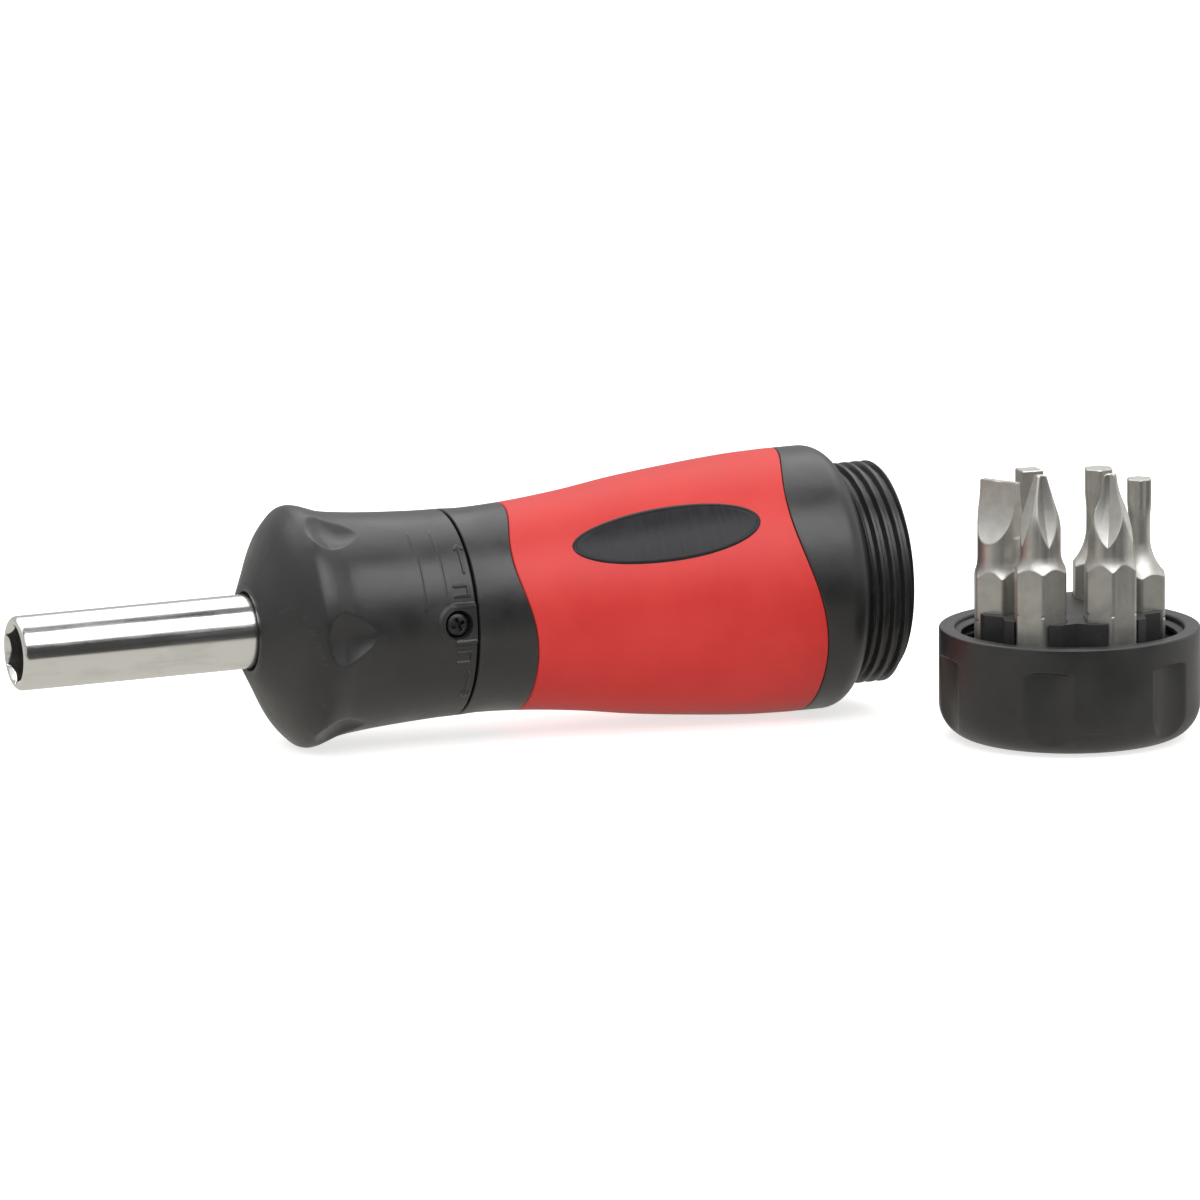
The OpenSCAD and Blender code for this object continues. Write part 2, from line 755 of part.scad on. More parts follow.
module pawl_spring() {
  half = pawl_tail_spot.y - pawl_tail_r - face_gap;
  color("lightsteelblue") lay_down()
    translate([pawl_tail_spot.x, -half, pawl_front + pawl_t / 2]) rotate([-90, 0, 0])
      coil(2 * half, spring_coil_r, spring_wire_r, spring_turn_count);
}

module detent_spring() {
  leaf_r = spigot_r - detent_sink;
  color("lightsteelblue") lay_down() rotate([0, 0, detent_turn]) difference() {
    union() {
      bent_block(leaf_r - detent_t, leaf_r, detent_front, detent_front + detent_w,
                 -detent_half_a, detent_half_a);
      translate([leaf_r, 0, detent_front]) cylinder(h = detent_w, r = detent_bump_r);
    }
    rod(leaf_r - detent_t, detent_front - over, detent_front + detent_w + over);
  }
}

// Cylinder across the handle that gives a grip edge its two dips, one of them facing the badge
module edge_dip(edge, dip) {
  translate([0, 0, edge - dip + grip_dip_r]) rotate([0, 0, badge_turn]) rotate([0, 90, 0])
    translate([0, 0, -handle_max_r - over]) cylinder(h = 2 * (handle_max_r + over), r = grip_dip_r);
}

// Layer that the soft grip fills, carried past the handle's outside by a margin
module grip_layer(margin) {
  band_front = grip_front - grip_front_dip - over;
  band = handle_stretch(band_front, grip_rear);
  difference() {
    rotate_extrude() polygon(concat(
      [for (p = band) [p.y + margin, p.x]],
      [for (k = [len(band) - 1 : -1 : 0]) [band[k].y - grip_t, band[k].x]]
    ));
    difference() {
      rod(handle_max_r + 2 * over, band_front - over, grip_front);
      edge_dip(grip_front, grip_front_dip);
    }
    edge_dip(grip_rear, grip_rear_dip);
  }
}

// One thread ridge seen in section, standing on the root radius and pointing outwards
module thread_ring(root_r, height, mid) {
  half_top = thread_pitch * thread_top_share / 2;
  half_base = thread_pitch * thread_base_share / 2;
  sink = height > 0 ? -seat_gap : seat_gap;
  rotate_extrude() polygon([
    [root_r + sink, mid - half_base], [root_r, mid - half_base], [root_r + height, mid - half_top],
    [root_r + height, mid + half_top], [root_r, mid + half_base], [root_r + sink, mid + half_base]
  ]);
}

module handle_core() {
  slot_a = selector_swing + asin((collar_screw_r + free_gap) / (spigot_r - collar_screw_bite));
  ridges = floor((neck_len - thread_lead - thread_pitch * thread_base_share / 2) / thread_pitch);
  color("#2b2b2d") lay_down() difference() {
    union() {
      rod(spigot_r, carrier_rear, handle_front + over);
      difference() {
        turned(handle_curve(), 0);
        grip_layer(over);
      }
      rod(thread_root_r, handle_rear - over, neck_rear);
      for (k = [0 : ridges])
        thread_ring(thread_root_r, thread_h, handle_rear + thread_lead + k * thread_pitch);
    }
    rod(hub_r + seat_gap, carrier_rear - over, clip_room);
    at_carrier_screws() rod(carrier_screw_r, carrier_t - over, carrier_screw_len);
    bent_block(spigot_r - collar_screw_bite - free_gap, spigot_r + over,
               collar_screw_w - collar_screw_r - slide_gap, collar_screw_w + collar_screw_r + slide_gap,
               collar_screw_turn - slot_a, collar_screw_turn + slot_a);
    rotate([0, 0, detent_turn]) {
      bent_block(spigot_r - detent_sink - detent_t, spigot_r + over, detent_front, detent_front + detent_w,
                 -detent_half_a, detent_half_a);
      bent_block(spigot_r - detent_sink - detent_t - detent_relief, spigot_r + over,
                 detent_front - slide_gap, detent_front + detent_w + slide_gap,
                 -detent_free_a, detent_free_a);
    }
    rod(store_r, store_floor, neck_rear + over);
    rod(well_r, well_floor, store_floor + over);
  }
}

// Egg-shaped outline of the badge, a little slimmer towards the front
module badge_outline() {
  polygon([
    for (k = [0 : badge_step_count - 1])
      let (a = 360 * k / badge_step_count, slim = 1 - badge_taper_share * (1 + cos(a)))
      [badge_len / 2 * cos(a), badge_w / 2 * slim * sin(a)]
  ]);
}

// Layer of the badge's outline near the handle's outside
module badge_layer(proud) {
  intersection() {
    difference() {
      turned(handle_curve(), proud);
      turned(handle_curve(), -badge_t);
    }
    outwards(badge_mid, badge_turn) linear_extrude(handle_max_r + over) badge_outline();
  }
}

module grip() {
  color("#c8322f") lay_down() difference() {
    grip_layer(0);
    badge_layer(over);
  }
}

module badge() {
  color("#1e1e20") lay_down() badge_layer(badge_proud);
}

module cap() {
  color("#232325") stand_cap() {
    difference() {
      rotate_extrude() polygon(concat(
        [[0, 0]],
        [for (k = [0 : arc_step_count])
          let (a = -90 + 90 * k / arc_step_count)
          [cap_r - cap_round_r + cap_round_r * cos(a), cap_round_r + cap_round_r * sin(a)]],
        [[cap_r, cap_h], [cap_bore_r, cap_h], [cap_bore_r, cap_base_t], [0, cap_base_t]]
      ));
      for (k = [0 : flute_count - 1])
        rotate([0, 0, flute_turn + k * 360 / flute_count])
          translate([cap_r - flute_depth + flute_r, 0, -over])
            cylinder(h = cap_h - flute_rim + over, r = flute_r);
    }
    for (k = [0 : cap_thread_count - 1])
      thread_ring(cap_bore_r, -thread_h, cap_h - cap_thread_lead - k * thread_pitch);
  }
}

// Place of a cell on the ring, turned from the viewer's right towards the back
module at_cell(turn) {
  rotate([0, 0, bit_ring_turn + turn]) translate([bit_ring_r, 0, 0]) children();
}

// Place of a bit in its cell, with a flat of its shank facing outwards
module at_bit(turn) {
  at_cell(turn) rotate([0, 0, 30]) children();
}

// Height of the floor of the cell at a turn of the ring
function seat_z(turn) = holder_floor_z + (turn < small_cross_turn ? 0 : cross_seat_rise);

// Outline of a hex cell that is open to the outside through its slot
module cell_outline() {
  corner_r = cell_w / 2 / cos(30);
  half_slot = holder_slot_w / 2;
  slot_x = cell_w / 2 - (half_slot - corner_r / 2) * tan(60);
  polygon(concat(
    [[slot_x, -half_slot], [holder_r, -half_slot], [holder_r, half_slot], [slot_x, half_slot]],
    [for (a = [90 : 60 : 270]) corner_r * [cos(a), sin(a)]]
  ));
}

module bit_holder() {
  color("#1d1d1f") stand_cap() difference() {
    intersection() {
      union() {
        rod(holder_hub_r, cap_base_t, holder_top - holder_hub_dip);
        for (k = [0 : bit_count - 1])
          at_bit(k * bit_pitch_a) hex_rod(cell_w + 2 * holder_wall, cap_base_t, holder_top);
      }
      rod(holder_r, cap_base_t, holder_top);
    }
    for (k = [0 : bit_count - 1])
      at_cell(k * bit_pitch_a) translate([0, 0, seat_z(k * bit_pitch_a)])
        linear_extrude(holder_top) cell_outline();
  }
}

// Hex shank that flares in to a round neck, whose places and radii above the flare are given
module bit_blank(neck_r, flare_h, ends) {
  corner_r = hex_w / 2 / cos(30);
  flare_from = bit_hex_len - over;
  flare_r = corner_r + over;
  top = ends[len(ends) - 1].x;
  flare = curve([for (f = bit_flare_shares)
    [flare_from + f.x * flare_h, neck_r + f.y * (flare_r - neck_r)]]);
  intersection() {
    hex_rod(hex_w, 0, top);
    union() {
      taper(corner_r - bit_chamfer, corner_r, 0, bit_chamfer);
      rod(flare_r, bit_chamfer, flare_from);
      turned(concat(flare, ends), 0);
    }
    difference() {
      rod(flare_r, 0, top);
      rotate_extrude() translate([corner_r + bit_nick_r / 2, bit_nick_at]) circle(r = bit_nick_r);
    }
  }
}

// Puts a bit into its cell on the cell's floor
module in_cell(turn) {
  stand_cap() at_bit(turn) translate([0, 0, seat_z(turn)]) children();
}

module wide_slotted_bit() {
  neck_r = blade_neck_d / 2;
  color("#a6a49c") in_cell(wide_slotted_turn) difference() {
    bit_blank(neck_r, short_flare_h, [[bit_len, neck_r]]);
    rotate([0, 0, blade_tip_turn]) for (s = [-1, 1]) {
      translate([-neck_r - over, s * (blade_hollow_r + blade_t / 2), bit_len]) rotate([0, 90, 0])
        cylinder(h = 2 * (neck_r + over), r = blade_hollow_r);
      translate([s * (blade_w + neck_r) / 2 - neck_r / 2, -neck_r, bit_len - blade_len])
        cube([neck_r, 2 * neck_r, blade_len + over]);
    }
  }
}

// Cross bit: a cone with four grooves between its wings
module cross_bit(round_r, turn) {
  cone_from = bit_len - cross_cone_len;
  flute_tilt = atan((round_r - cross_wing_t / 2) / cross_flute_len);
  difference() {
    bit_blank(round_r, short_flare_h, [[cone_from, round_r], [bit_len, cross_point_r]]);
    for (a = [0 : 90 : 270])
      rotate([0, 0, a + 45 + turn]) translate([cross_wing_t / 2, 0, bit_len]) rotate([0, -flute_tilt, 0])
        rotate([0, 0, -45]) translate([0, 0, -2 * cross_flute_len])
          cube([cross_flute_w, cross_flute_w, 3 * cross_flute_len]);
  }
}

module small_cross_bit() {
  color("#a6a49c") in_cell(small_cross_turn) cross_bit(small_cross_d / 2, small_cross_tip_turn);
}

module large_cross_bit() {
  color("#a6a49c") in_cell(large_cross_turn) cross_bit(large_cross_d / 2, large_cross_tip_turn);
}

// Star bit: a round neck with a six-lobed tip
module star_bit(star_r) {
  neck_r = star_r * star_neck_share;
  bit_blank(neck_r, long_flare_h, [[bit_len - star_len, neck_r]]);
  translate([0, 0, bit_len - star_len]) linear_extrude(star_len) polygon([
    for (k = [0 : star_step_count - 1])
      let (a = 360 * k / star_step_count,
           r = star_r * (1 - star_lobe_share * (1 - cos(star_lobe_count * a)) / 2))
      r * [cos(a), sin(a)]
  ]);
}

module small_star_bit() {
  color("#a6a49c") in_cell(small_star_turn) star_bit(small_star_d / 2);
}

module large_star_bit() {
  color("#a6a49c") in_cell(large_star_turn) star_bit(large_star_d / 2);
}

module square_bit() {
  tip_r = square_w / 2 / cos(45);
  neck_r = tip_r * square_neck_share;
  color("#a6a49c") in_cell(square_turn) {
    bit_blank(neck_r, long_flare_h, [[bit_len - square_len, neck_r]]);
    translate([0, 0, bit_len - square_len]) cylinder(h = square_len, r = tip_r, $fn = 4);
  }
}

drive_shaft();
bit_magnet();
ratchet_gear();
shaft_clip();
selector_collar();
cam_ring();
collar_screw();
pawl_carrier();
carrier_screws();
front_bush();
rear_bush();
rear_washer();
pawl_pins();
forward_pawl();
reverse_pawl();
pawl_spring();
detent_spring();
handle_core();
grip();
badge();
cap();
bit_holder();
wide_slotted_bit();
small_cross_bit();
large_cross_bit();
small_star_bit();
large_star_bit();
square_bit();
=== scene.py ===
"""Looks of a stubby ratcheting screwdriver that lies beside its open cap of driver bits.

Lengths are in millimetres and angles in degrees until a mesh is made.  The driver has a frame of its
own: w runs along its axis from the shaft's tip, and the angle round the axis is 0 at the top and 90
on the viewer's side.  The cap and its bits stand upright, with z from the ground.
"""
import json
import logging
import math
from dataclasses import dataclass, field
from enum import Enum

import bmesh
import bpy
import numpy as np
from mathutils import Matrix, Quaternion, Vector

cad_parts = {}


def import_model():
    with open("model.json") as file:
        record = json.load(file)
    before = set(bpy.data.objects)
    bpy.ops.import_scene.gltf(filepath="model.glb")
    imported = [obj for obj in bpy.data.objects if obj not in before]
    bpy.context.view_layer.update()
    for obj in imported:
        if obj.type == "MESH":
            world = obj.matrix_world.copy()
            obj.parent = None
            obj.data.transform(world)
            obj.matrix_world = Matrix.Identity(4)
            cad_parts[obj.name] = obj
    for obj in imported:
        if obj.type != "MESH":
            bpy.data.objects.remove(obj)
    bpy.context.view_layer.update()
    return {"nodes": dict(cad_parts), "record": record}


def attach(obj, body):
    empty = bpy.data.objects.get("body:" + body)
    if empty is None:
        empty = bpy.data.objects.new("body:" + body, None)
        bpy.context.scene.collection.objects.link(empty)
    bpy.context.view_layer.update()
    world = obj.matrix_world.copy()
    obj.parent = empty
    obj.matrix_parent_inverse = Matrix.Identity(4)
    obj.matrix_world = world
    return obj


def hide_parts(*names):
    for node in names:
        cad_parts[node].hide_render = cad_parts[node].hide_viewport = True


LOG = logging.getLogger("driver")
MM = 0.001

# Points closer than this, in metres, are one point
WELD_DISTANCE = 1e-7
# Angles in degrees from which the edges of turned, moulded and cut pieces stay sharp
SHARP_TURNED = 34.0
SHARP_MOULDED = 40.0
SHARP_CUT = 20.0
# Least divisor where a radius runs out to infinity
TINY = 1e-4

Array = np.ndarray
Colour = tuple[float, float, float]
Span = tuple[float, float]


def ramp(x: Array, low: float, high: float) -> Array:
    """Smooth step: 0 below low, 1 above high, and 3t^2 - 2t^3 of the share t of the way between."""
    t = np.clip((x - low) / (high - low), 0.0, 1.0)
    return t * t * (3.0 - 2.0 * t)


def soft_min(a: Array, b: Array, k: float) -> Array:
    """Lower of two heights, with their crease rounded by a parabola where they differ by less than k."""
    h = np.clip(0.5 + 0.5 * (b - a) / k, 0.0, 1.0)
    return b * (1.0 - h) + a * h - k * h * (1.0 - h)


def through(points: Array, x: Array) -> Array:
    """Height of a smooth curve through points.

    Between two points the curve is the cubic that has their heights and, at each, the slope of the
    line between its two neighbours.

    Args:
        points: Rows of place and height, in order of place.
        x: Places at which the height is wanted.

    Returns:
        Heights with the shape of x.
    """
    px, py = points[:, 0], points[:, 1]
    order = np.arange(len(px))
    before, after = np.maximum(order - 1, 0), np.minimum(order + 1, len(px) - 1)
    slope = (py[after] - py[before]) / (px[after] - px[before])
    i = np.clip(np.searchsorted(px, x, side="right") - 1, 0, len(px) - 2)
    step = px[i + 1] - px[i]
    t = np.clip((x - px[i]) / step, 0.0, 1.0)
    rise = 3.0 * t**2 - 2.0 * t**3
    return ((1.0 - rise) * py[i] + (t**3 - 2.0 * t**2 + t) * step * slope[i]
            + rise * py[i + 1] + (t**3 - t**2) * step * slope[i + 1])


def between(start: Span, end: Span, steps: tuple) -> list[list[float]]:
    """Points whose place and height are given as shares of the way from start to end."""
    return [[start[0] + a * (end[0] - start[0]), start[1] + b * (end[1] - start[1])] for a, b in steps]


def spaced(*runs: tuple[float, float, int]) -> Array:
    """Even places along runs of (from, to, steps), each without its last place."""
    return np.concatenate([np.linspace(start, stop, steps, endpoint=False) for start, stop, steps in runs])


def rows_between(breaks: tuple, counts: tuple) -> Array:
    """Column of even places from each break to the next, with the last break."""
    return np.append(spaced(*zip(breaks[:-1], breaks[1:], counts)), breaks[-1])[:, None]


def turn_steps(count: int) -> Array:
    """Even angles round one full turn."""
    return np.linspace(0.0, 360.0, count, endpoint=False)


def shares(count: int) -> Array:
    """Column of even shares from 0 to 1."""
    return np.linspace(0.0, 1.0, count)[:, None]


def off_line(x: Array, y: Array, start: Span, end: Span) -> Array:
    """Distance of points from a straight stroke.

    The share of the way along the stroke at which the point stands square to it is cut to 0..1, and
    the distance is measured to that place.

    Args:
        x: First coordinates of the points.
        y: Second coordinates of the points.
        start: Start of the stroke.
        end: End of the stroke.

    Returns:
        Distances with the shape of x and y together.
    """
    run, rise = end[0] - start[0], end[1] - start[1]
    share = ((x - start[0]) * run + (y - start[1]) * rise) / (run * run + rise * rise)
    share = np.clip(share, 0.0, 1.0)
    return np.hypot(x - start[0] - share * run, y - start[1] - share * rise)


def wrapped(angle: Array) -> Array:
    """Angle brought into -180..180."""
    return (angle + 180.0) % 360.0 - 180.0


def fold(angle: Array, pitch: float) -> Array:
    """Angle from the middle of the pitch that it falls in."""
    return angle % pitch - pitch / 2.0


def from_nearest(angle: Array, turn: float, count: int) -> Array:
    """Angle from the nearest of count even directions, the first of which is at turn."""
    return fold(angle - turn + 180.0 / count, 360.0 / count)


def arc_length(angle: Array, turn: float, radius: Array) -> Array:
    """Length round the axis from the direction at turn, at a radius."""
    return np.radians(wrapped(angle - turn)) * radius


def hex_corner(flats: float) -> float:
    """Radius of a hexagon's corners: half its width over the cosine of 30 degrees."""
    return flats / 2.0 / math.cos(math.radians(30.0))


def hex_wall(flats: float, angle: Array) -> Array:
    """Radius of a hexagon: half its width over the cosine of the angle from the nearest flat."""
    return flats / 2.0 / np.cos(np.radians(fold(angle, 60.0)))


@dataclass(frozen=True)
class Lie:
    """Place of the driver: the middle of its tip and the way its axis runs."""

    tip: Array
    along: Array

    @classmethod
    def from_record(cls, record: dict, joint_place: float = 15.0) -> "Lie":
        """Reads the axis of the shaft's joint.

        Args:
            record: The part's record.
            joint_place: Distance of the joint's place behind the tip.

        Returns:
            The driver's place.
        """
        joint = next(j for j in record["behaviour"]["joints"] if j["name"] == "shaft_spin")
        along = np.array(joint["axis"])
        return cls(np.array(joint["pos_m"]) / MM - joint_place * along, along)

    def place(self, radius: Array, angle: Array, w: Array) -> Array:
        """Points in the frame: w along the axis plus the radius turned by the angle from the top.

        Args:
            radius: Distances from the axis.
            angle: Angles round the axis.
            w: Places along the axis.

        Returns:
            Points with the shape of the three together, by x, y and z.
        """
        up = np.array([-self.along[2], 0.0, self.along[0]])
        side = np.array([0.0, -1.0, 0.0])
        radius, angle, w = np.broadcast_arrays(radius, np.radians(angle), w)
        return (self.tip + w[..., None] * self.along + (radius * np.cos(angle))[..., None] * up
                + (radius * np.sin(angle))[..., None] * side)


@dataclass(frozen=True)
class Stand:
    """Place of an upright piece: the point of the ground under its middle and its turn about it."""

    centre: Array
    turn: float = 0.0

    @classmethod
    def from_record(cls, record: dict) -> "Stand":
        """Reads the middle of the cap's base face."""
        mount = next(m for m in record["mounts"] if m["name"] == "cap_base")
        return cls(np.array(mount["pos_m"]) / MM)

    def on_ring(self, radius: float, angle: float, turn: float) -> "Stand":
        """Place on a ring round this one, turned by turn."""
        a = math.radians(angle)
        return Stand(self.centre + radius * np.array([math.cos(a), math.sin(a), 0.0]), turn)

    def place(self, radius: Array, angle: Array, z: Array) -> Array:
        """Points in the frame: the radius turned by the angle about the middle, at height z."""
        radius, angle, z = np.broadcast_arrays(radius, np.radians(angle + self.turn), z)
        return self.centre + np.stack([radius * np.cos(angle), radius * np.sin(angle), z], axis=-1)


@dataclass
class Skin:
    """Turned surface in rows: each row has a place along the axis and a radius for every column."""

    angle: Array
    places: list[Array] = field(default_factory=list)
    radii: list[Array] = field(default_factory=list)

    def add(self, place: Array, radius: Array) -> "Skin":
        """Adds rows.

        Args:
            place: Places along the axis, per row or per row and column.
            radius: Radii, per row or per row and column.

        Returns:
            This skin.
        """
        place, radius = (np.asarray(v, dtype=float) for v in (place, radius))
        place, radius = (v[:, None] if v.ndim == 1 else v for v in (place, radius))
        shape = np.broadcast_shapes(place.shape, radius.shape, (1, len(self.angle)))
        self.places.append(np.broadcast_to(place, shape))
        self.radii.append(np.broadcast_to(radius, shape))
        return self

    def path(self, *points: Span) -> "Skin":
        """Adds one round row for each point of place and radius."""
        rows = np.array(points)
        return self.add(rows[:, 0], rows[:, 1])

    def edge(self, place: float, radius: float, steps: tuple) -> "Skin":
        """Adds one round row for each step of place and radius away from an edge."""
        return self.path(*((place + along, radius + out) for along, out in steps))

    def piece(self, name: str, base: "Lie | Stand", loop: bool = False,
              sharp: float = SHARP_TURNED) -> bpy.types.Object:
        """Makes the object.

        The surface is the point at each row's place and radius, turned by each column's angle.  Its
        UV map is the length round the axis at the mean radius, and the length along the rows.

        Args:
            name: Name of the piece.
            base: Place of the axis in the frame.
            loop: True if the last row joins the first.
            sharp: Angle in degrees from which an edge stays sharp.

        Returns:
            The new object.
        """
        w, r = np.vstack(self.places), np.vstack(self.radii)
        grid = base.place(r, self.angle[None, :], w)
        run = np.hypot(np.diff(w.mean(axis=1)), np.diff(r.mean(axis=1)))
        v = np.concatenate([[0.0], np.cumsum(run)])
        u = np.radians(np.append(self.angle, self.angle[0] + 360.0)) * max(r.mean(), 1.0)
        return sheet_piece(name, grid, u, np.append(v, v[-1]) if loop else v, loop, sharp)


def sheet_piece(name: str, grid: Array, u: Array, v: Array, loop: bool = False,
                sharp: float = SHARP_TURNED) -> bpy.types.Object:
    """Closed mesh from a grid of points.

    Each cell of the grid is a quad; the last column joins the first, and so does the last row in a
    loop.  Rows that shrink to a point become poles.  The sign of the volume turns the faces outwards.

    Args:
        name: Name of the piece.
        grid: Points in millimetres, rows by columns by three.
        u: Length across for each column, and once more for the seam.
        v: Length along for each row, and once more for a loop.
        loop: True if the last row joins the first.
        sharp: Angle in degrees from which an edge stays sharp.

    Returns:
        The new object at the origin.
    """
    rows, columns = grid.shape[:2]
    points = grid.reshape(-1, 3) * MM
    index = np.arange(rows * columns).reshape(rows, columns)
    here = np.arange(rows if loop else rows - 1)
    a, b = index[here], index[(here + 1) % rows]
    quads = np.stack([a, np.roll(a, -1, 1), np.roll(b, -1, 1), b], axis=-1).reshape(-1, 4)
    u0, v0 = np.meshgrid(u[:-1], v[here])
    u1, v1 = np.meshgrid(u[1:], v[here + 1])
    uv = np.stack([np.stack(pair, -1) for pair in ((u0, v0), (u1, v0), (u1, v1), (u0, v1))], axis=2)
    uv = uv.reshape(-1, 4, 2) * MM
    corner = points[quads]
    normal = np.cross(corner[:, 2] - corner[:, 0], corner[:, 3] - corner[:, 1])
    if np.einsum("ij,ij->", normal, corner.mean(axis=1)) < 0.0:
        quads, uv = quads[:, ::-1], uv[:, ::-1]
    mesh = bpy.data.meshes.new(name)
    mesh.from_pydata(points.tolist(), [], quads.tolist())
    mesh.uv_layers.new(name="UVMap").data.foreach_set("uv", uv.astype(np.float32).ravel())
    return finished(name, mesh, sharp)


def finished(name: str, mesh: bpy.types.Mesh, sharp: float) -> bpy.types.Object:
    """Closes a mesh's poles by merging doubles, shades it smooth and makes its object.

    Args:
        name: Name of the piece.
        mesh: The piece's mesh.
        sharp: Angle in degrees from which an edge stays sharp.

    Returns:
        The new object at the origin.
    """
    shell = bmesh.new()
    shell.from_mesh(mesh)
    bmesh.ops.remove_doubles(shell, verts=shell.verts, dist=WELD_DISTANCE)
    shell.to_mesh(mesh)
    shell.free()
    mesh.shade_smooth()
    mesh.set_sharp_from_angle(angle=math.radians(sharp))
    piece = bpy.data.objects.new(name, mesh)
    bpy.context.scene.collection.objects.link(piece)
    return piece


def extruded_piece(name: str, blocks: list[tuple[Array, float, float]]) -> bpy.types.Object:
    """Upright blocks, each an outline carried from one height to another and closed by flat ends.

    Args:
        name: Name of the piece.
        blocks: Outline points in the frame, lower height and upper height of each block.

    Returns:
        The new object, with its corners sharp.
    """
    points: list[Array] = []
    faces: list[list[int]] = []
    start = 0
    for outline, low, high in blocks:
        count = len(outline)
        around = np.arange(count)
        after = (around + 1) % count
        points += [np.column_stack([outline, np.full(count, z)]) for z in (low, high)]
        sides = np.stack([around, after, after + count, around + count], axis=-1) + start
        faces += sides.tolist() + [(around[::-1] + start).tolist(), (around + count + start).tolist()]
        start += 2 * count
    mesh = bpy.data.meshes.new(name)
    mesh.from_pydata((np.concatenate(points) * MM).tolist(), [], faces)
    return finished(name, mesh, SHARP_CUT)


def fit_out(piece: bpy.types.Object, body: str, node: str, finish: bpy.types.Material) -> None:
    """Gives a piece its finish and body, and lets it stand for its CAD node.

    Args:
        piece: The finished piece.
        body: Body that carries it.
        node: CAD node that it replaces.
        finish: Its material.
    """
    piece.data.materials.append(finish)
    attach(piece, body)
    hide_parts(node)
    LOG.info("%s: %d faces on %s", piece.name, len(piece.data.polygons), body)


class NodeSheet:
    """A material's nodes, with short calls for the ones that the finishes use."""

    def __init__(self, name: str) -> None:
        """Starts a material with one surface shader.

        Args:
            name: Name of the material.
        """
        self.material = bpy.data.materials.new(name)
        self.material.use_nodes = True
        self.tree = self.material.node_tree
        self.tree.nodes.clear()
        self.shader = self.add("ShaderNodeBsdfPrincipled")
        self.add("ShaderNodeOutputMaterial", {"Surface": self.shader.outputs[0]})

    def add(self, kind: str, inputs: dict | None = None, **settings: object) -> bpy.types.Node:
        """Adds a node.

        Args:
            kind: Blender's name of the node.
            inputs: Value or socket for each named or numbered input.
            **settings: Node properties.

        Returns:
            The new node.
        """
        node = self.tree.nodes.new(kind)
        for key, value in settings.items():
            setattr(node, key, value)
        for key, value in (inputs or {}).items():
            if isinstance(value, bpy.types.NodeSocket):
                self.tree.links.new(value, node.inputs[key])
            else:
                node.inputs[key].default_value = value
        return node

    def spot(self, output: str = "Object") -> bpy.types.NodeSocket:
        """Coordinates of the surface point, in metres."""
        return self.add("ShaderNodeTexCoord").outputs[output]

    def stretched(self, source: bpy.types.NodeSocket, scale: Colour) -> bpy.types.NodeSocket:
        """Coordinates scaled by their own number on each axis."""
        return self.add("ShaderNodeMapping", {"Vector": source, "Scale": scale}).outputs[0]

    def noise(self, source: bpy.types.NodeSocket, scale: float = 1.0, detail: float = 3.0,
              rough: float = 0.55) -> bpy.types.NodeSocket:
        """Even noise about 0.5."""
        return self.add("ShaderNodeTexNoise", {"Vector": source, "Scale": scale, "Detail": detail,
                                               "Roughness": rough}).outputs[0]

    def remap(self, value: bpy.types.NodeSocket, low: float, high: float, to_low: float = 0.0,
              to_high: float = 1.0) -> bpy.types.NodeSocket:
        """Value between low and high brought to between two others, and held at them outside."""
        return self.add("ShaderNodeMapRange", {0: value, 1: low, 2: high, 3: to_low, 4: to_high}).outputs[0]

    def spread(self, noise: bpy.types.NodeSocket, to_low: float = 0.0,
               to_high: float = 1.0) -> bpy.types.NodeSocket:
        """Noise brought from the 0.3 to 0.7 in which most of it lies to between two values."""
        return self.remap(noise, 0.3, 0.7, to_low, to_high)

    def math(self, operation: str, a: "bpy.types.NodeSocket | float",
             b: "bpy.types.NodeSocket | float") -> bpy.types.NodeSocket:
        """One sum on two values."""
        return self.add("ShaderNodeMath", {0: a, 1: b}, operation=operation).outputs[0]

    def tint(self, share: bpy.types.NodeSocket, a: "Colour | bpy.types.NodeSocket",
             b: "Colour | bpy.types.NodeSocket") -> bpy.types.NodeSocket:
        """Colour that goes from a to b with the share."""
        a, b = ((*c, 1.0) if isinstance(c, tuple) else c for c in (a, b))
        return self.add("ShaderNodeMix", {0: share, 6: a, 7: b}, data_type="RGBA").outputs[2]

    def bump(self, height: bpy.types.NodeSocket, strength: float, depth: float,
             under: bpy.types.NodeSocket | None = None) -> bpy.types.NodeSocket:
        """Surface direction tilted by a height.

        Args:
            height: Height from 0 to 1.
            strength: Share of the tilt that is used.
            depth: Height of 1 in millimetres.
            under: Another bump below this one.

        Returns:
            The tilted direction.
        """
        inputs = {"Height": height, "Strength": strength, "Distance": depth * MM}
        if under is not None:
            inputs["Normal"] = under
        return self.add("ShaderNodeBump", inputs).outputs[0]

    def wear(self, low: float, high: float) -> bpy.types.NodeSocket:
        """Share from 0 to 1 that grows on outward edges."""
        return self.remap(self.add("ShaderNodeNewGeometry").outputs["Pointiness"], low, high)

    def surface(self, **inputs: object) -> bpy.types.Material:
        """Sets the shader's inputs.

        Args:
            **inputs: Value or socket for each input, whose name has _ for a space.

        Returns:
            The finished material.
        """
        for key, value in inputs.items():
            socket = self.shader.inputs[key.replace("_", " ")]
            if isinstance(value, bpy.types.NodeSocket):
                self.tree.links.new(value, socket)
            elif isinstance(value, tuple):
                socket.default_value = (*value, 1.0)
            else:
                socket.default_value = value
        return self.material


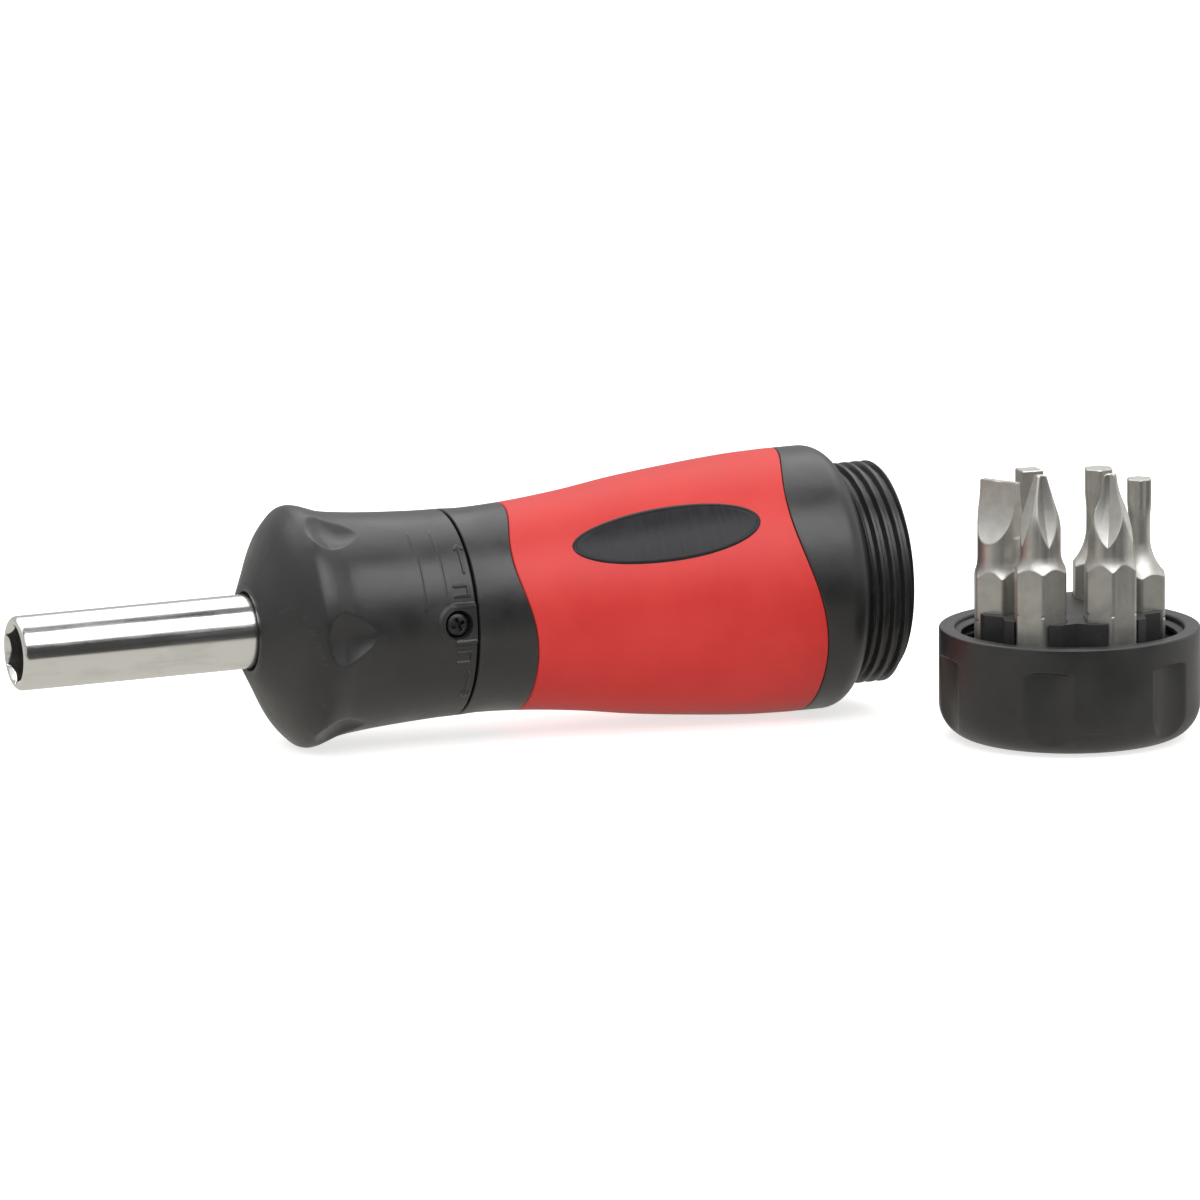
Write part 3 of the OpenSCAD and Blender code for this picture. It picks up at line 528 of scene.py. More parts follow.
@dataclass(frozen=True)
class BlackPlastic:
    """Moulded black plastic with a fine grain, handling scuffs and paler edges."""

    name: str
    colour: Colour = (0.015, 0.0146, 0.0146)
    pale: Colour = (0.045, 0.044, 0.044)
    roughness: float = 0.37
    grain: float = 0.1
    scratches: float = 0.35
    edge_wear: float = 0.35

    def make(self) -> bpy.types.Material:
        """Builds the material: blotches, patches of scratches, worn edges, a mottle and a grain.

        Returns:
            The new material.
        """
        sheet = NodeSheet(self.name)
        spot, flat = sheet.spot(), sheet.spot("UV")
        blotch = sheet.noise(spot, scale=170.0, detail=4.0)
        grain = sheet.noise(spot, scale=3800.0, detail=2.0)
        lines = sheet.noise(sheet.stretched(flat, (110.0, 4200.0, 1.0)), detail=2.0, rough=0.5)
        patch = sheet.remap(sheet.noise(spot, scale=120.0, detail=2.0), low=0.5, high=0.66)
        scratch = sheet.remap(lines, low=0.64, high=0.74, to_high=self.scratches)
        scratch = sheet.math("MULTIPLY", scratch, patch)
        colour = sheet.tint(sheet.spread(blotch, to_high=0.3), self.colour, self.pale)
        colour = sheet.tint(scratch, colour, self.pale)
        worn = sheet.math("MULTIPLY", sheet.wear(low=0.52, high=0.6), self.edge_wear)
        colour = sheet.tint(worn, colour, self.pale)
        rough = sheet.math("ADD", sheet.spread(blotch, self.roughness - 0.06, self.roughness + 0.08),
                           sheet.math("MULTIPLY", scratch, 0.25))
        cuts = sheet.bump(scratch, strength=0.15, depth=0.03)
        mottle = sheet.bump(sheet.noise(spot, scale=620.0, detail=3.0), strength=0.1, depth=0.3, under=cuts)
        normal = sheet.bump(grain, strength=self.grain, depth=0.05, under=mottle)
        return sheet.surface(Base_Color=colour, Roughness=rough, Normal=normal, IOR=1.55)


@dataclass(frozen=True)
class RedRubber:
    """Soft red rubber moulded over the handle: satin, very finely grained, a little uneven."""

    name: str = "red_rubber_satin"
    colour: Colour = (0.66, 0.02, 0.016)
    pale: Colour = (0.74, 0.034, 0.028)
    sheen: Colour = (1.0, 0.75, 0.72)
    roughness: float = 0.5

    def make(self) -> bpy.types.Material:
        """Builds the material: clouds of two reds, specks of dust, a fine grain and a faint sheen.

        Returns:
            The new material.
        """
        sheet = NodeSheet(self.name)
        spot = sheet.spot()
        cloud = sheet.noise(spot, scale=90.0, detail=3.0)
        grain = sheet.noise(spot, scale=4200.0, detail=2.0)
        dust = sheet.remap(sheet.noise(spot, scale=1600.0, detail=2.0), low=0.66, high=0.76, to_high=0.22)
        colour = sheet.tint(sheet.spread(cloud), self.colour, self.pale)
        colour = sheet.tint(dust, colour, self.pale)
        rough = sheet.math("ADD", sheet.spread(cloud, self.roughness - 0.04, self.roughness + 0.05),
                           sheet.spread(grain, to_high=0.04))
        swell = sheet.bump(sheet.noise(spot, scale=320.0, detail=2.0), strength=0.05, depth=0.2)
        normal = sheet.bump(grain, strength=0.12, depth=0.05, under=swell)
        return sheet.surface(Base_Color=colour, Roughness=rough, Normal=normal, IOR=1.45,
                             Sheen_Weight=0.1, Sheen_Roughness=0.4, Sheen_Tint=self.sheen)


@dataclass(frozen=True)
class PolishedChrome:
    """Bright plated steel with fine drawn lines along the shaft and rubbed patches."""

    name: str = "shaft_chrome_drawn"
    colour: Colour = (0.82, 0.81, 0.79)
    dull: Colour = (0.62, 0.61, 0.59)
    roughness: Span = (0.13, 0.22)

    def make(self) -> bpy.types.Material:
        """Builds the material: long thin lines, and patches that are duller and rougher.

        Returns:
            The new material.
        """
        sheet = NodeSheet(self.name)
        spot, flat = sheet.spot(), sheet.spot("UV")
        lines = sheet.noise(sheet.stretched(flat, (3600.0, 55.0, 1.0)), detail=3.0, rough=0.6)
        rub = sheet.noise(sheet.stretched(flat, (420.0, 110.0, 1.0)), detail=3.0)
        colour = sheet.tint(sheet.remap(rub, low=0.5, high=0.72, to_high=0.5), self.colour, self.dull)
        rough = sheet.math("ADD", sheet.remap(lines, 0.3, 0.75, *self.roughness),
                           sheet.remap(rub, low=0.45, high=0.7, to_high=0.07))
        swell = sheet.bump(sheet.noise(spot, scale=260.0, detail=2.0), strength=0.02, depth=0.2)
        normal = sheet.bump(lines, strength=0.045, depth=0.05, under=swell)
        return sheet.surface(Base_Color=colour, Metallic=1.0, Roughness=rough, Normal=normal)


@dataclass(frozen=True)
class WorkedSteel:
    """Bare metal with tool lines in one direction of its coordinates, dull patches and bright edges."""

    name: str
    colour: Colour
    dull: Colour
    roughness: float
    across: float = 2600.0
    along: float = 90.0
    lines_on: str = "UV"
    edge_wear: float = 0.5

    def make(self) -> bpy.types.Material:
        """Builds the material: tool lines, stains that are duller and rougher, and rubbed edges.

        Returns:
            The new material.
        """
        sheet = NodeSheet(self.name)
        spot = sheet.spot()
        way = sheet.stretched(sheet.spot(self.lines_on), (self.across, self.along, self.along))
        lines = sheet.noise(way, detail=3.0, rough=0.6)
        stain = sheet.noise(spot, scale=420.0, detail=4.0)
        colour = sheet.tint(sheet.remap(stain, low=0.38, high=0.68), self.colour, self.dull)
        worn = sheet.math("MULTIPLY", sheet.wear(low=0.52, high=0.62), self.edge_wear)
        colour = sheet.tint(worn, colour, self.colour)
        rough = sheet.math("ADD", sheet.spread(lines, self.roughness - 0.05, self.roughness + 0.06),
                           sheet.remap(stain, low=0.4, high=0.7, to_high=0.08))
        pores = sheet.bump(sheet.noise(spot, scale=2200.0, detail=2.0), strength=0.06, depth=0.04)
        normal = sheet.bump(lines, strength=0.12, depth=0.04, under=pores)
        return sheet.surface(Base_Color=colour, Metallic=1.0, Roughness=rough, Normal=normal)


@dataclass(frozen=True)
class BadgeGloss:
    """Glossy black plate with faint upright lines."""

    name: str = "badge_black_gloss"
    colour: Colour = (0.016, 0.016, 0.018)
    pale: Colour = (0.024, 0.024, 0.026)
    roughness: Span = (0.28, 0.36)

    def make(self) -> bpy.types.Material:
        """Builds the material: lines that are paler and rougher, on a cloudy gloss.

        Returns:
            The new material.
        """
        sheet = NodeSheet(self.name)
        spot = sheet.spot()
        lines = sheet.noise(sheet.stretched(spot, (2600.0, 220.0, 220.0)), detail=2.0)
        cloud = sheet.noise(spot, scale=380.0, detail=3.0)
        colour = sheet.tint(sheet.remap(lines, low=0.35, high=0.7, to_high=0.7), self.colour, self.pale)
        rough = sheet.math("ADD", sheet.spread(cloud, *self.roughness),
                           sheet.remap(lines, low=0.4, high=0.7, to_high=0.05))
        return sheet.surface(Base_Color=colour, Roughness=rough, IOR=1.3,
                             Normal=sheet.bump(lines, strength=0.02, depth=0.04))


@dataclass(frozen=True)
class CreamAcetal:
    """Waxy pale plastic of the cam ring, with flow marks and a soft grain."""

    name: str = "cam_plastic_waxy"
    colour: Colour = (0.74, 0.71, 0.62)
    dull: Colour = (0.62, 0.59, 0.5)
    roughness: Span = (0.32, 0.44)

    def make(self) -> bpy.types.Material:
        """Builds the material: flow marks of two shades under a grain.

        Returns:
            The new material.
        """
        sheet = NodeSheet(self.name)
        spot = sheet.spot()
        flow = sheet.noise(sheet.stretched(spot, (150.0, 700.0, 700.0)), detail=3.0)
        grain = sheet.noise(spot, scale=2600.0, detail=2.0)
        colour = sheet.tint(sheet.remap(flow, low=0.35, high=0.7), self.colour, self.dull)
        return sheet.surface(Base_Color=colour, Roughness=sheet.spread(grain, *self.roughness), IOR=1.48,
                             Normal=sheet.bump(grain, strength=0.08, depth=0.04))


@dataclass
class DriveShaft:
    """Round plated shaft with a hex socket in its tip and a thinner journal at its rear."""

    radius: float = 4.7625
    socket_flats: float = 6.45
    socket_depth: float = 12.7
    corner_relief: float = 0.16
    relief_angle: float = 3.2
    mouth_depth: float = 1.0
    mouth_spare: float = 0.12
    mouth_edge: float = 0.04
    magnet_radius: float = 2.4
    magnet_floor: float = 15.7
    tip_round: tuple = ((0.0, 4.2), (0.03, 4.32), (0.1, 4.44), (0.22, 4.56), (0.38, 4.67), (0.56, 4.74))
    tip_round_end: float = 0.8
    plain_from: float = 1.5
    shoulder: float = 38.4
    journal_radius: float = 3.48
    groove: tuple[float, float, float] = (55.58, 56.42, 2.78)
    rear: float = 57.2
    rear_chamfer: float = 0.2
    columns: int = 240
    socket_rows: int = 6
    mouth_rows: int = 12
    plain_rows: int = 24

    def build(self, lie: Lie) -> bpy.types.Object:
        """Turns the shaft's outline.

        The socket's wall is a hexagon, deeper at its corners by a bell curve of the angle from them,
        or the mouth's cone where that is wider.

        Args:
            lie: Place of the driver.

        Returns:
            The new object.
        """
        angle = turn_steps(self.columns)
        skin = Skin(angle)
        skin.path((self.magnet_floor, 0.0), (self.magnet_floor, self.magnet_radius),
                  (self.socket_depth, self.magnet_radius))
        corner = hex_corner(self.socket_flats)
        relief = np.exp(-(from_nearest(angle, 0.0, 6) / self.relief_angle) ** 2)
        wall = hex_wall(self.socket_flats, angle) + self.corner_relief * relief
        w = spaced((self.socket_depth, self.mouth_depth, self.socket_rows),
                   (self.mouth_depth, 0.0, self.mouth_rows))
        skin.add(w, np.maximum(wall[None, :], (corner + self.mouth_spare - w)[:, None]))
        mouth = corner + self.corner_relief
        skin.path((0.0, mouth), (0.0, mouth + self.mouth_edge), *self.tip_round,
                  (self.tip_round_end, self.radius))
        w = np.linspace(self.plain_from, self.shoulder, self.plain_rows)
        skin.add(w, np.full(len(w), self.radius))
        first, last, depth = self.groove
        skin.path((self.shoulder, self.journal_radius), (first, self.journal_radius), (first, depth),
                  (last, depth), (last, self.journal_radius),
                  (self.rear - self.rear_chamfer, self.journal_radius),
                  (self.rear, self.journal_radius - self.rear_chamfer), (self.rear, 0.0))
        return skin.piece("drive_shaft_turned", lie)

    def dress(self, lie: Lie) -> None:
        """Builds the shaft and gives it its plating."""
        fit_out(self.build(lie), "shaft", "drive_shaft", PolishedChrome().make())


@dataclass
class SelectorCollar:
    """Bell-shaped collar that turns to choose the ratchet's direction."""

    front: float = 31.0
    ridge: float = 37.5
    rear: float = 57.5
    lip_radius: float = 5.9
    ridge_radius: float = 15.5
    seam_radius: float = 13.25
    bore_radius: float = 11.25
    hole_radius: float = 5.06
    cavity_front: float = 35.4
    nose: tuple = ((0.248, 0.322), (0.565, 0.728), (0.86, 0.955))
    fall: tuple = ((0.05, 0.96), (0.1, 0.82), (0.195, 0.535), (0.35, 0.338), (0.555, 0.178), (0.85, 0.03))
    hole_edge: tuple = ((0.15, 0.0), (0.02, 0.1), (0.0, 0.2))
    lip_edge: tuple = ((0.0, -0.22), (0.03, -0.1))
    lip_end: float = 0.08
    rear_round: float = 0.16
    rear_edge: tuple = ((-0.05, -0.06), (0.0, -0.18))
    bore_chamfer: float = 0.15
    hole_chamfer: float = 0.1
    dish_count: int = 6
    dish_turn: float = 87.0
    dish_at: float = 39.5
    dish_depth: float = 0.95
    dish_radius: float = 15.0
    dish_half_width: float = 3.5
    dish_narrowing: float = 0.28
    dish_narrow_run: float = 5.0
    dish_front: float = 2.6
    dish_rear: float = 4.4
    screw_at: float = 55.0
    screw_turn: float = 86.0
    screw_radius: float = 13.4
    boss_radius: float = 2.65
    boss_height: float = 0.25
    boss_edge: Span = (-0.1, 0.12)
    well_radius: float = 1.8
    well_edge: float = 0.06
    well_floor: float = 11.95
    bar_mark: tuple = (((54.7, 9.5), (57.2, 9.5)),)
    frame_mark: tuple = (((54.9, 15.6), (56.7, 15.6)), ((56.7, 15.6), (56.7, 21.6)),
                         ((56.7, 21.6), (54.9, 21.6)))
    arrow_mark: tuple = (((56.6, 29.0), (56.6, 46.0)), ((56.1, 43.6), (56.6, 46.0)),
                         ((57.1, 43.6), (56.6, 46.0)))
    mark_radius: float = 13.3
    mark_height: float = 0.2
    mark_edge: Span = (0.1, 0.22)
    rib_places: Span = (50.75, 53.7)
    rib_half: float = 0.14
    rib_height: float = 0.12
    rib_end: Span = (75.0, 78.0)
    mould_line_turn: float = 12.0
    mould_line_half: float = 0.12
    mould_line_height: float = 0.05
    mould_line_end: Span = (36.0, 36.8)
    key_count: int = 3
    key_half: float = 1.6
    key_radius: float = 12.45
    key_end: float = 38.1
    key_row: float = 37.0
    bore_row: float = 43.0
    stops: tuple = (-20.0, 0.0, 20.0)
    stop_turn: float = 266.0
    stop_at: float = 51.0
    stop_half: float = 2.0
    stop_radius: float = 1.15
    stop_centre: float = 10.8
    step: float = 0.02
    fine_span: Span = (29.0, 128.0)
    fine_columns: int = 200
    plain_columns: int = 150
    row_breaks: tuple = (36.8, 45.0, 50.3)
    row_counts: tuple = (40, 64, 16, 92)

    def outline(self, w: Array) -> Array:
        """Radius of the plain outside: a smooth curve from the lip over the ridge to the seam.

        Args:
            w: Places along the axis.

        Returns:
            Radii with the shape of w.
        """
        lip, top, seam = ((self.front, self.lip_radius), (self.ridge, self.ridge_radius),
                          (self.rear, self.seam_radius))
        drop = [[top[0] + a * (seam[0] - top[0]), seam[1] + b * (top[1] - seam[1])] for a, b in self.fall]
        return through(np.array([lip, *between(lip, top, self.nose), top, *drop, seam]), w)

    def dishes(self, w: Array, angle: Array) -> Array:
        """Depth of the thumb dishes below the plain outside.

        Each is a bowl whose depth falls with the square of the distance from its middle, measured
        against its half lengths and its half width: short and round in front, longer behind.

        Args:
            w: Places along the axis.
            angle: Angles round the axis.

        Returns:
            Depths with the shape of w and angle together.
        """
        along = w - self.dish_at
        across = np.radians(from_nearest(angle, self.dish_turn, self.dish_count)) * self.dish_radius
        half = self.dish_half_width - self.dish_narrowing * np.clip(along, 0.0, self.dish_narrow_run)
        away = np.hypot(along / np.where(along < 0.0, self.dish_front, self.dish_rear), across / half)
        return self.dish_depth * np.clip(1.0 - away * away, 0.0, 1.0)

    def marks(self, w: Array, angle: Array) -> Array:
        """Height of the raised marks: strokes of a bar, a frame and an arrow on each side of the screw.

        A stroke is as high as a smooth step of the distance from its line, and each stroke's ends are
        its place along the axis and its angle to either side of the screw.

        Args:
            w: Places along the axis.
            angle: Angles round the axis.

        Returns:
            Heights with the shape of w and angle together.
        """
        around = np.abs(np.radians(angle - self.screw_turn)) * self.mark_radius
        height = np.zeros(np.broadcast_shapes(w.shape, angle.shape))
        for stroke in (*self.bar_mark, *self.frame_mark, *self.arrow_mark):
            start, end = ((place, math.radians(turn) * self.mark_radius) for place, turn in stroke)
            height = np.maximum(height, 1.0 - ramp(off_line(w, around, start, end), *self.mark_edge))
        return self.mark_height * height

    def ribs(self, w: Array, angle: Array) -> Array:
        """Height of the fine ribs: a bell curve across each place, which fades out before the screw."""
        bells = sum(np.exp(-((w - place) / self.rib_half) ** 2) for place in self.rib_places)
        return self.rib_height * bells * (1.0 - ramp(angle, *self.rib_end))

    def mould_line(self, w: Array, angle: Array, r: Array) -> Array:
        """Height of the nose's mould line: a bell curve of the length round the axis from its turn."""
        bell = np.exp(-(arc_length(angle, self.mould_line_turn, r) / self.mould_line_half) ** 2)
        return self.mould_line_height * bell * (1.0 - ramp(w, *self.mould_line_end))

    def outside(self, w: Array, angle: Array) -> Array:
        """Radius of the outside: the outline with its dishes, boss, ribs, marks, mould line and screw well.

        The boss is a smooth step of the distance from the screw and runs on to the rear edge.

        Args:
            w: Places along the axis.
            angle: Angles round the axis.

        Returns:
            Radii with the shape of w and angle together.
        """
        r = self.outline(w) - self.dishes(w, angle)
        across = arc_length(angle, self.screw_turn, self.screw_radius)
        boss = np.hypot(np.minimum(w - self.screw_at, 0.0), across)
        r = r + self.boss_height * (1.0 - ramp(boss - self.boss_radius, *self.boss_edge))
        r = r + self.ribs(w, angle) + self.marks(w, angle)
        r = r + self.mould_line(w, angle, r)
        well = np.hypot(w - self.screw_at, across)
        wall = ramp(well - self.well_radius, -self.well_edge, self.well_edge)
        sunk = np.minimum(r, self.well_floor + (r - self.well_floor) * wall)
        return np.where(well < self.well_radius + self.well_edge, sunk, r)

    def bore(self, w: Array, angle: Array) -> Array:
        """Radius of the bore with the cam ring's keyways in front and the detent's round grooves.

        A groove is the far side of a circle about a point inside the bore.

        Args:
            w: Places along the axis.
            angle: Angles round the axis.

        Returns:
            Radii with the shape of w and angle together.
        """
        key = np.radians(from_nearest(angle, 0.0, self.key_count)) * self.bore_radius
        r = np.where((w < self.key_end) & (np.abs(key) < self.key_half), self.key_radius, self.bore_radius)
        for stop in self.stops:
            off = np.radians(wrapped(angle - self.stop_turn - stop))
            inside = self.stop_radius**2 - (self.stop_centre * np.sin(off)) ** 2
            groove = self.stop_centre * np.cos(off) + np.sqrt(np.maximum(inside, 0.0))
            here = (inside > 0.0) & (np.cos(off) > 0.0) & (np.abs(w - self.stop_at) < self.stop_half)
            r = np.where(here, np.maximum(r, groove), r)
        return r

    def build(self, lie: Lie) -> bpy.types.Object:
        """Turns the outside, the rear edge, the bore, the inner face and the hole as one closed loop.

        Args:
            lie: Place of the driver.

        Returns:
            The new object.
        """
        start, stop = self.fine_span
        angle = spaced((start, stop, self.fine_columns), (stop, start + 360.0, self.plain_columns))
        around = angle[None, :]
        skin = Skin(angle)
        skin.edge(self.front, self.hole_radius, self.hole_edge)
        skin.edge(self.front, self.lip_radius, self.lip_edge)
        last = self.rear - self.rear_round
        w = rows_between((self.front + self.lip_end, *self.row_breaks, last), self.row_counts)
        skin.add(w, self.outside(w, around))
        edge = self.outside(w[-1:], around)
        for along, out in self.rear_edge:
            skin.add(np.full((1, 1), self.rear + along), edge + out)
        skin.path((self.rear, self.bore_radius + self.bore_chamfer),
                  (self.rear - self.bore_chamfer, self.bore_radius))
        step = np.array([self.step, -self.step])
        groove = self.stop_half + step
        w = np.concatenate([self.stop_at + groove, [self.stop_at], self.stop_at - groove[::-1],
                            [self.bore_row], self.key_end + step, [self.key_row, self.cavity_front]])[:, None]
        skin.add(w, self.bore(w, around))
        skin.path((self.cavity_front, self.hole_radius + self.hole_chamfer),
                  (self.cavity_front - self.hole_chamfer, self.hole_radius))
        return skin.piece("selector_collar_moulded", lie, loop=True, sharp=SHARP_MOULDED)

    def dress(self, lie: Lie, finish: bpy.types.Material) -> None:
        """Builds the collar and gives it its plastic."""
        fit_out(self.build(lie), "selector", "selector_collar", finish)


@dataclass
class CollarScrew:
    """Small dark screw with a cross recess, sunk in the collar's boss."""

    at: float = 55.0
    turn: float = 86.0
    head_radius: float = 1.42
    head_top: float = 13.0
    head_base: float = 12.0
    dome: float = 0.22
    rim_drop: float = 0.3
    recess_turn: float = 20.0
    recess_depth: float = 0.6
    recess_side: Span = (0.15, 0.27)
    recess_end: Span = (0.68, 0.92)
    recess_span: float = 1.1
    shank_radius: float = 0.8
    shank_end: float = 11.35
    row_length: float = 0.1
    columns: int = 120
    recess_rows: int = 34
    rim_rows: int = 8

    def build(self, lie: Lie) -> bpy.types.Object:
        """Turns the head about its own axis, with a crossed recess pressed into its domed top.

        The dome falls with the fourth power of the distance from its middle, and the recess is as deep
        as the steeper of two sloping bars that cross at right angles.

        Args:
            lie: Place of the driver.

        Returns:
            The new object.
        """
        angle = turn_steps(self.columns)
        rho = spaced((0.0, self.recess_span, self.recess_rows),
                     (self.recess_span, self.head_radius, self.rim_rows))
        x = rho[:, None] * np.cos(np.radians(angle + self.recess_turn))
        y = rho[:, None] * np.sin(np.radians(angle + self.recess_turn))
        low, high = np.minimum(np.abs(x), np.abs(y)), np.maximum(np.abs(x), np.abs(y))
        cut = (1.0 - ramp(low, *self.recess_side)) * (1.0 - ramp(high, *self.recess_end))
        top = self.head_top - self.dome * (rho[:, None] / self.head_radius) ** 4 - self.recess_depth * cut
        side = np.array([(self.head_radius, self.head_top - self.rim_drop),
                         (self.head_radius, self.head_base), (self.shank_radius, self.head_base),
                         (self.shank_radius, self.shank_end), (0.0, self.shank_end)])
        radius = np.concatenate([rho, side[:, 0]])[:, None]
        height = np.concatenate([top, np.broadcast_to(side[:, 1:], (len(side), len(angle)))])
        a = np.radians(angle)[None, :]
        across, along = radius * np.sin(a), radius * np.cos(a)
        turn = self.turn + np.degrees(np.arctan2(across, height))
        grid = lie.place(np.hypot(height, across), turn, self.at + along)
        u = np.radians(np.append(angle, 360.0))
        return sheet_piece("collar_screw_head", grid, u, np.arange(len(radius)) * self.row_length)

    def dress(self, lie: Lie) -> None:
        """Builds the screw and gives it its dark oxide."""
        finish = WorkedSteel("screw_black_oxide", (0.09, 0.09, 0.095), (0.035, 0.035, 0.037), roughness=0.4,
                             lines_on="Object", along=900.0).make()
        fit_out(self.build(lie), "selector", "collar_screw", finish)


@dataclass
class HandleForm:
    """Outline of the handle and the edges of its soft grip, shared by core, grip and badge."""

    front: float = 57.8
    widest: float = 102.425
    rear: float = 110.3
    front_radius: float = 13.25
    widest_radius: float = 17.0
    shoulder: float = 3.2
    swell: tuple = ((0.0, 0.0), (0.072, -0.03), (0.211, 0.053), (0.373, 0.256), (0.535, 0.544), (0.72, 0.787),
                    (0.882, 0.949), (1.0, 1.0))
    grip_front_at: float = 65.9
    front_dip: float = 2.4
    front_dip_turn: float = 52.0
    grip_rear_at: float = 104.1
    rear_dip: float = 3.8
    rear_dip_turn: float = 48.0

    def radius(self, w: Array) -> Array:
        """Radius of the outside: a smooth swell, a straight stretch and a quarter-round shoulder.

        Args:
            w: Places along the axis.

        Returns:
            Radii with the shape of w.
        """
        points = between((self.front, self.front_radius), (self.widest, self.widest_radius), self.swell)
        past = np.clip(w - (self.rear - self.shoulder), 0.0, self.shoulder)
        drop = self.shoulder - np.sqrt(self.shoulder**2 - past**2)
        return through(np.array(points), w) - drop

    def grip_front(self, angle: Array) -> Array:
        """Place of the grip's front edge: a level line with two dips, as the sixth power of a cosine."""
        return self.grip_front_at - self.front_dip * np.cos(np.radians(angle - self.front_dip_turn)) ** 6

    def grip_rear(self, angle: Array) -> Array:
        """Place of the grip's rear edge: a level line with two dips, as the fourth power of a cosine."""
        return self.grip_rear_at - self.rear_dip * np.cos(np.radians(angle - self.rear_dip_turn)) ** 4


@dataclass(frozen=True)
class Thread:
    """Right-handed thread of the neck and the cap."""

    pitch: float = 1.5
    depth: float = 0.8
    crest_share: float = 0.1
    root_share: float = 0.37

    def height(self, place: Array, angle: Array, crest_at: float) -> Array:
        """Height of the thread above its root.

        The distance along the axis from the nearest crest, which moves by one pitch a turn, goes through
        a smooth step from the crest's flat to the root's.

        Args:
            place: Places along the axis.
            angle: Angles round the axis.
            crest_at: Place of a crest at angle 0.

        Returns:
            Heights with the shape of place and angle together.
        """
        along = place - crest_at - self.pitch * angle / 360.0
        away = np.abs(fold(along + self.pitch / 2.0, self.pitch)) / self.pitch
        return self.depth * (1.0 - ramp(away, self.crest_share, self.root_share))


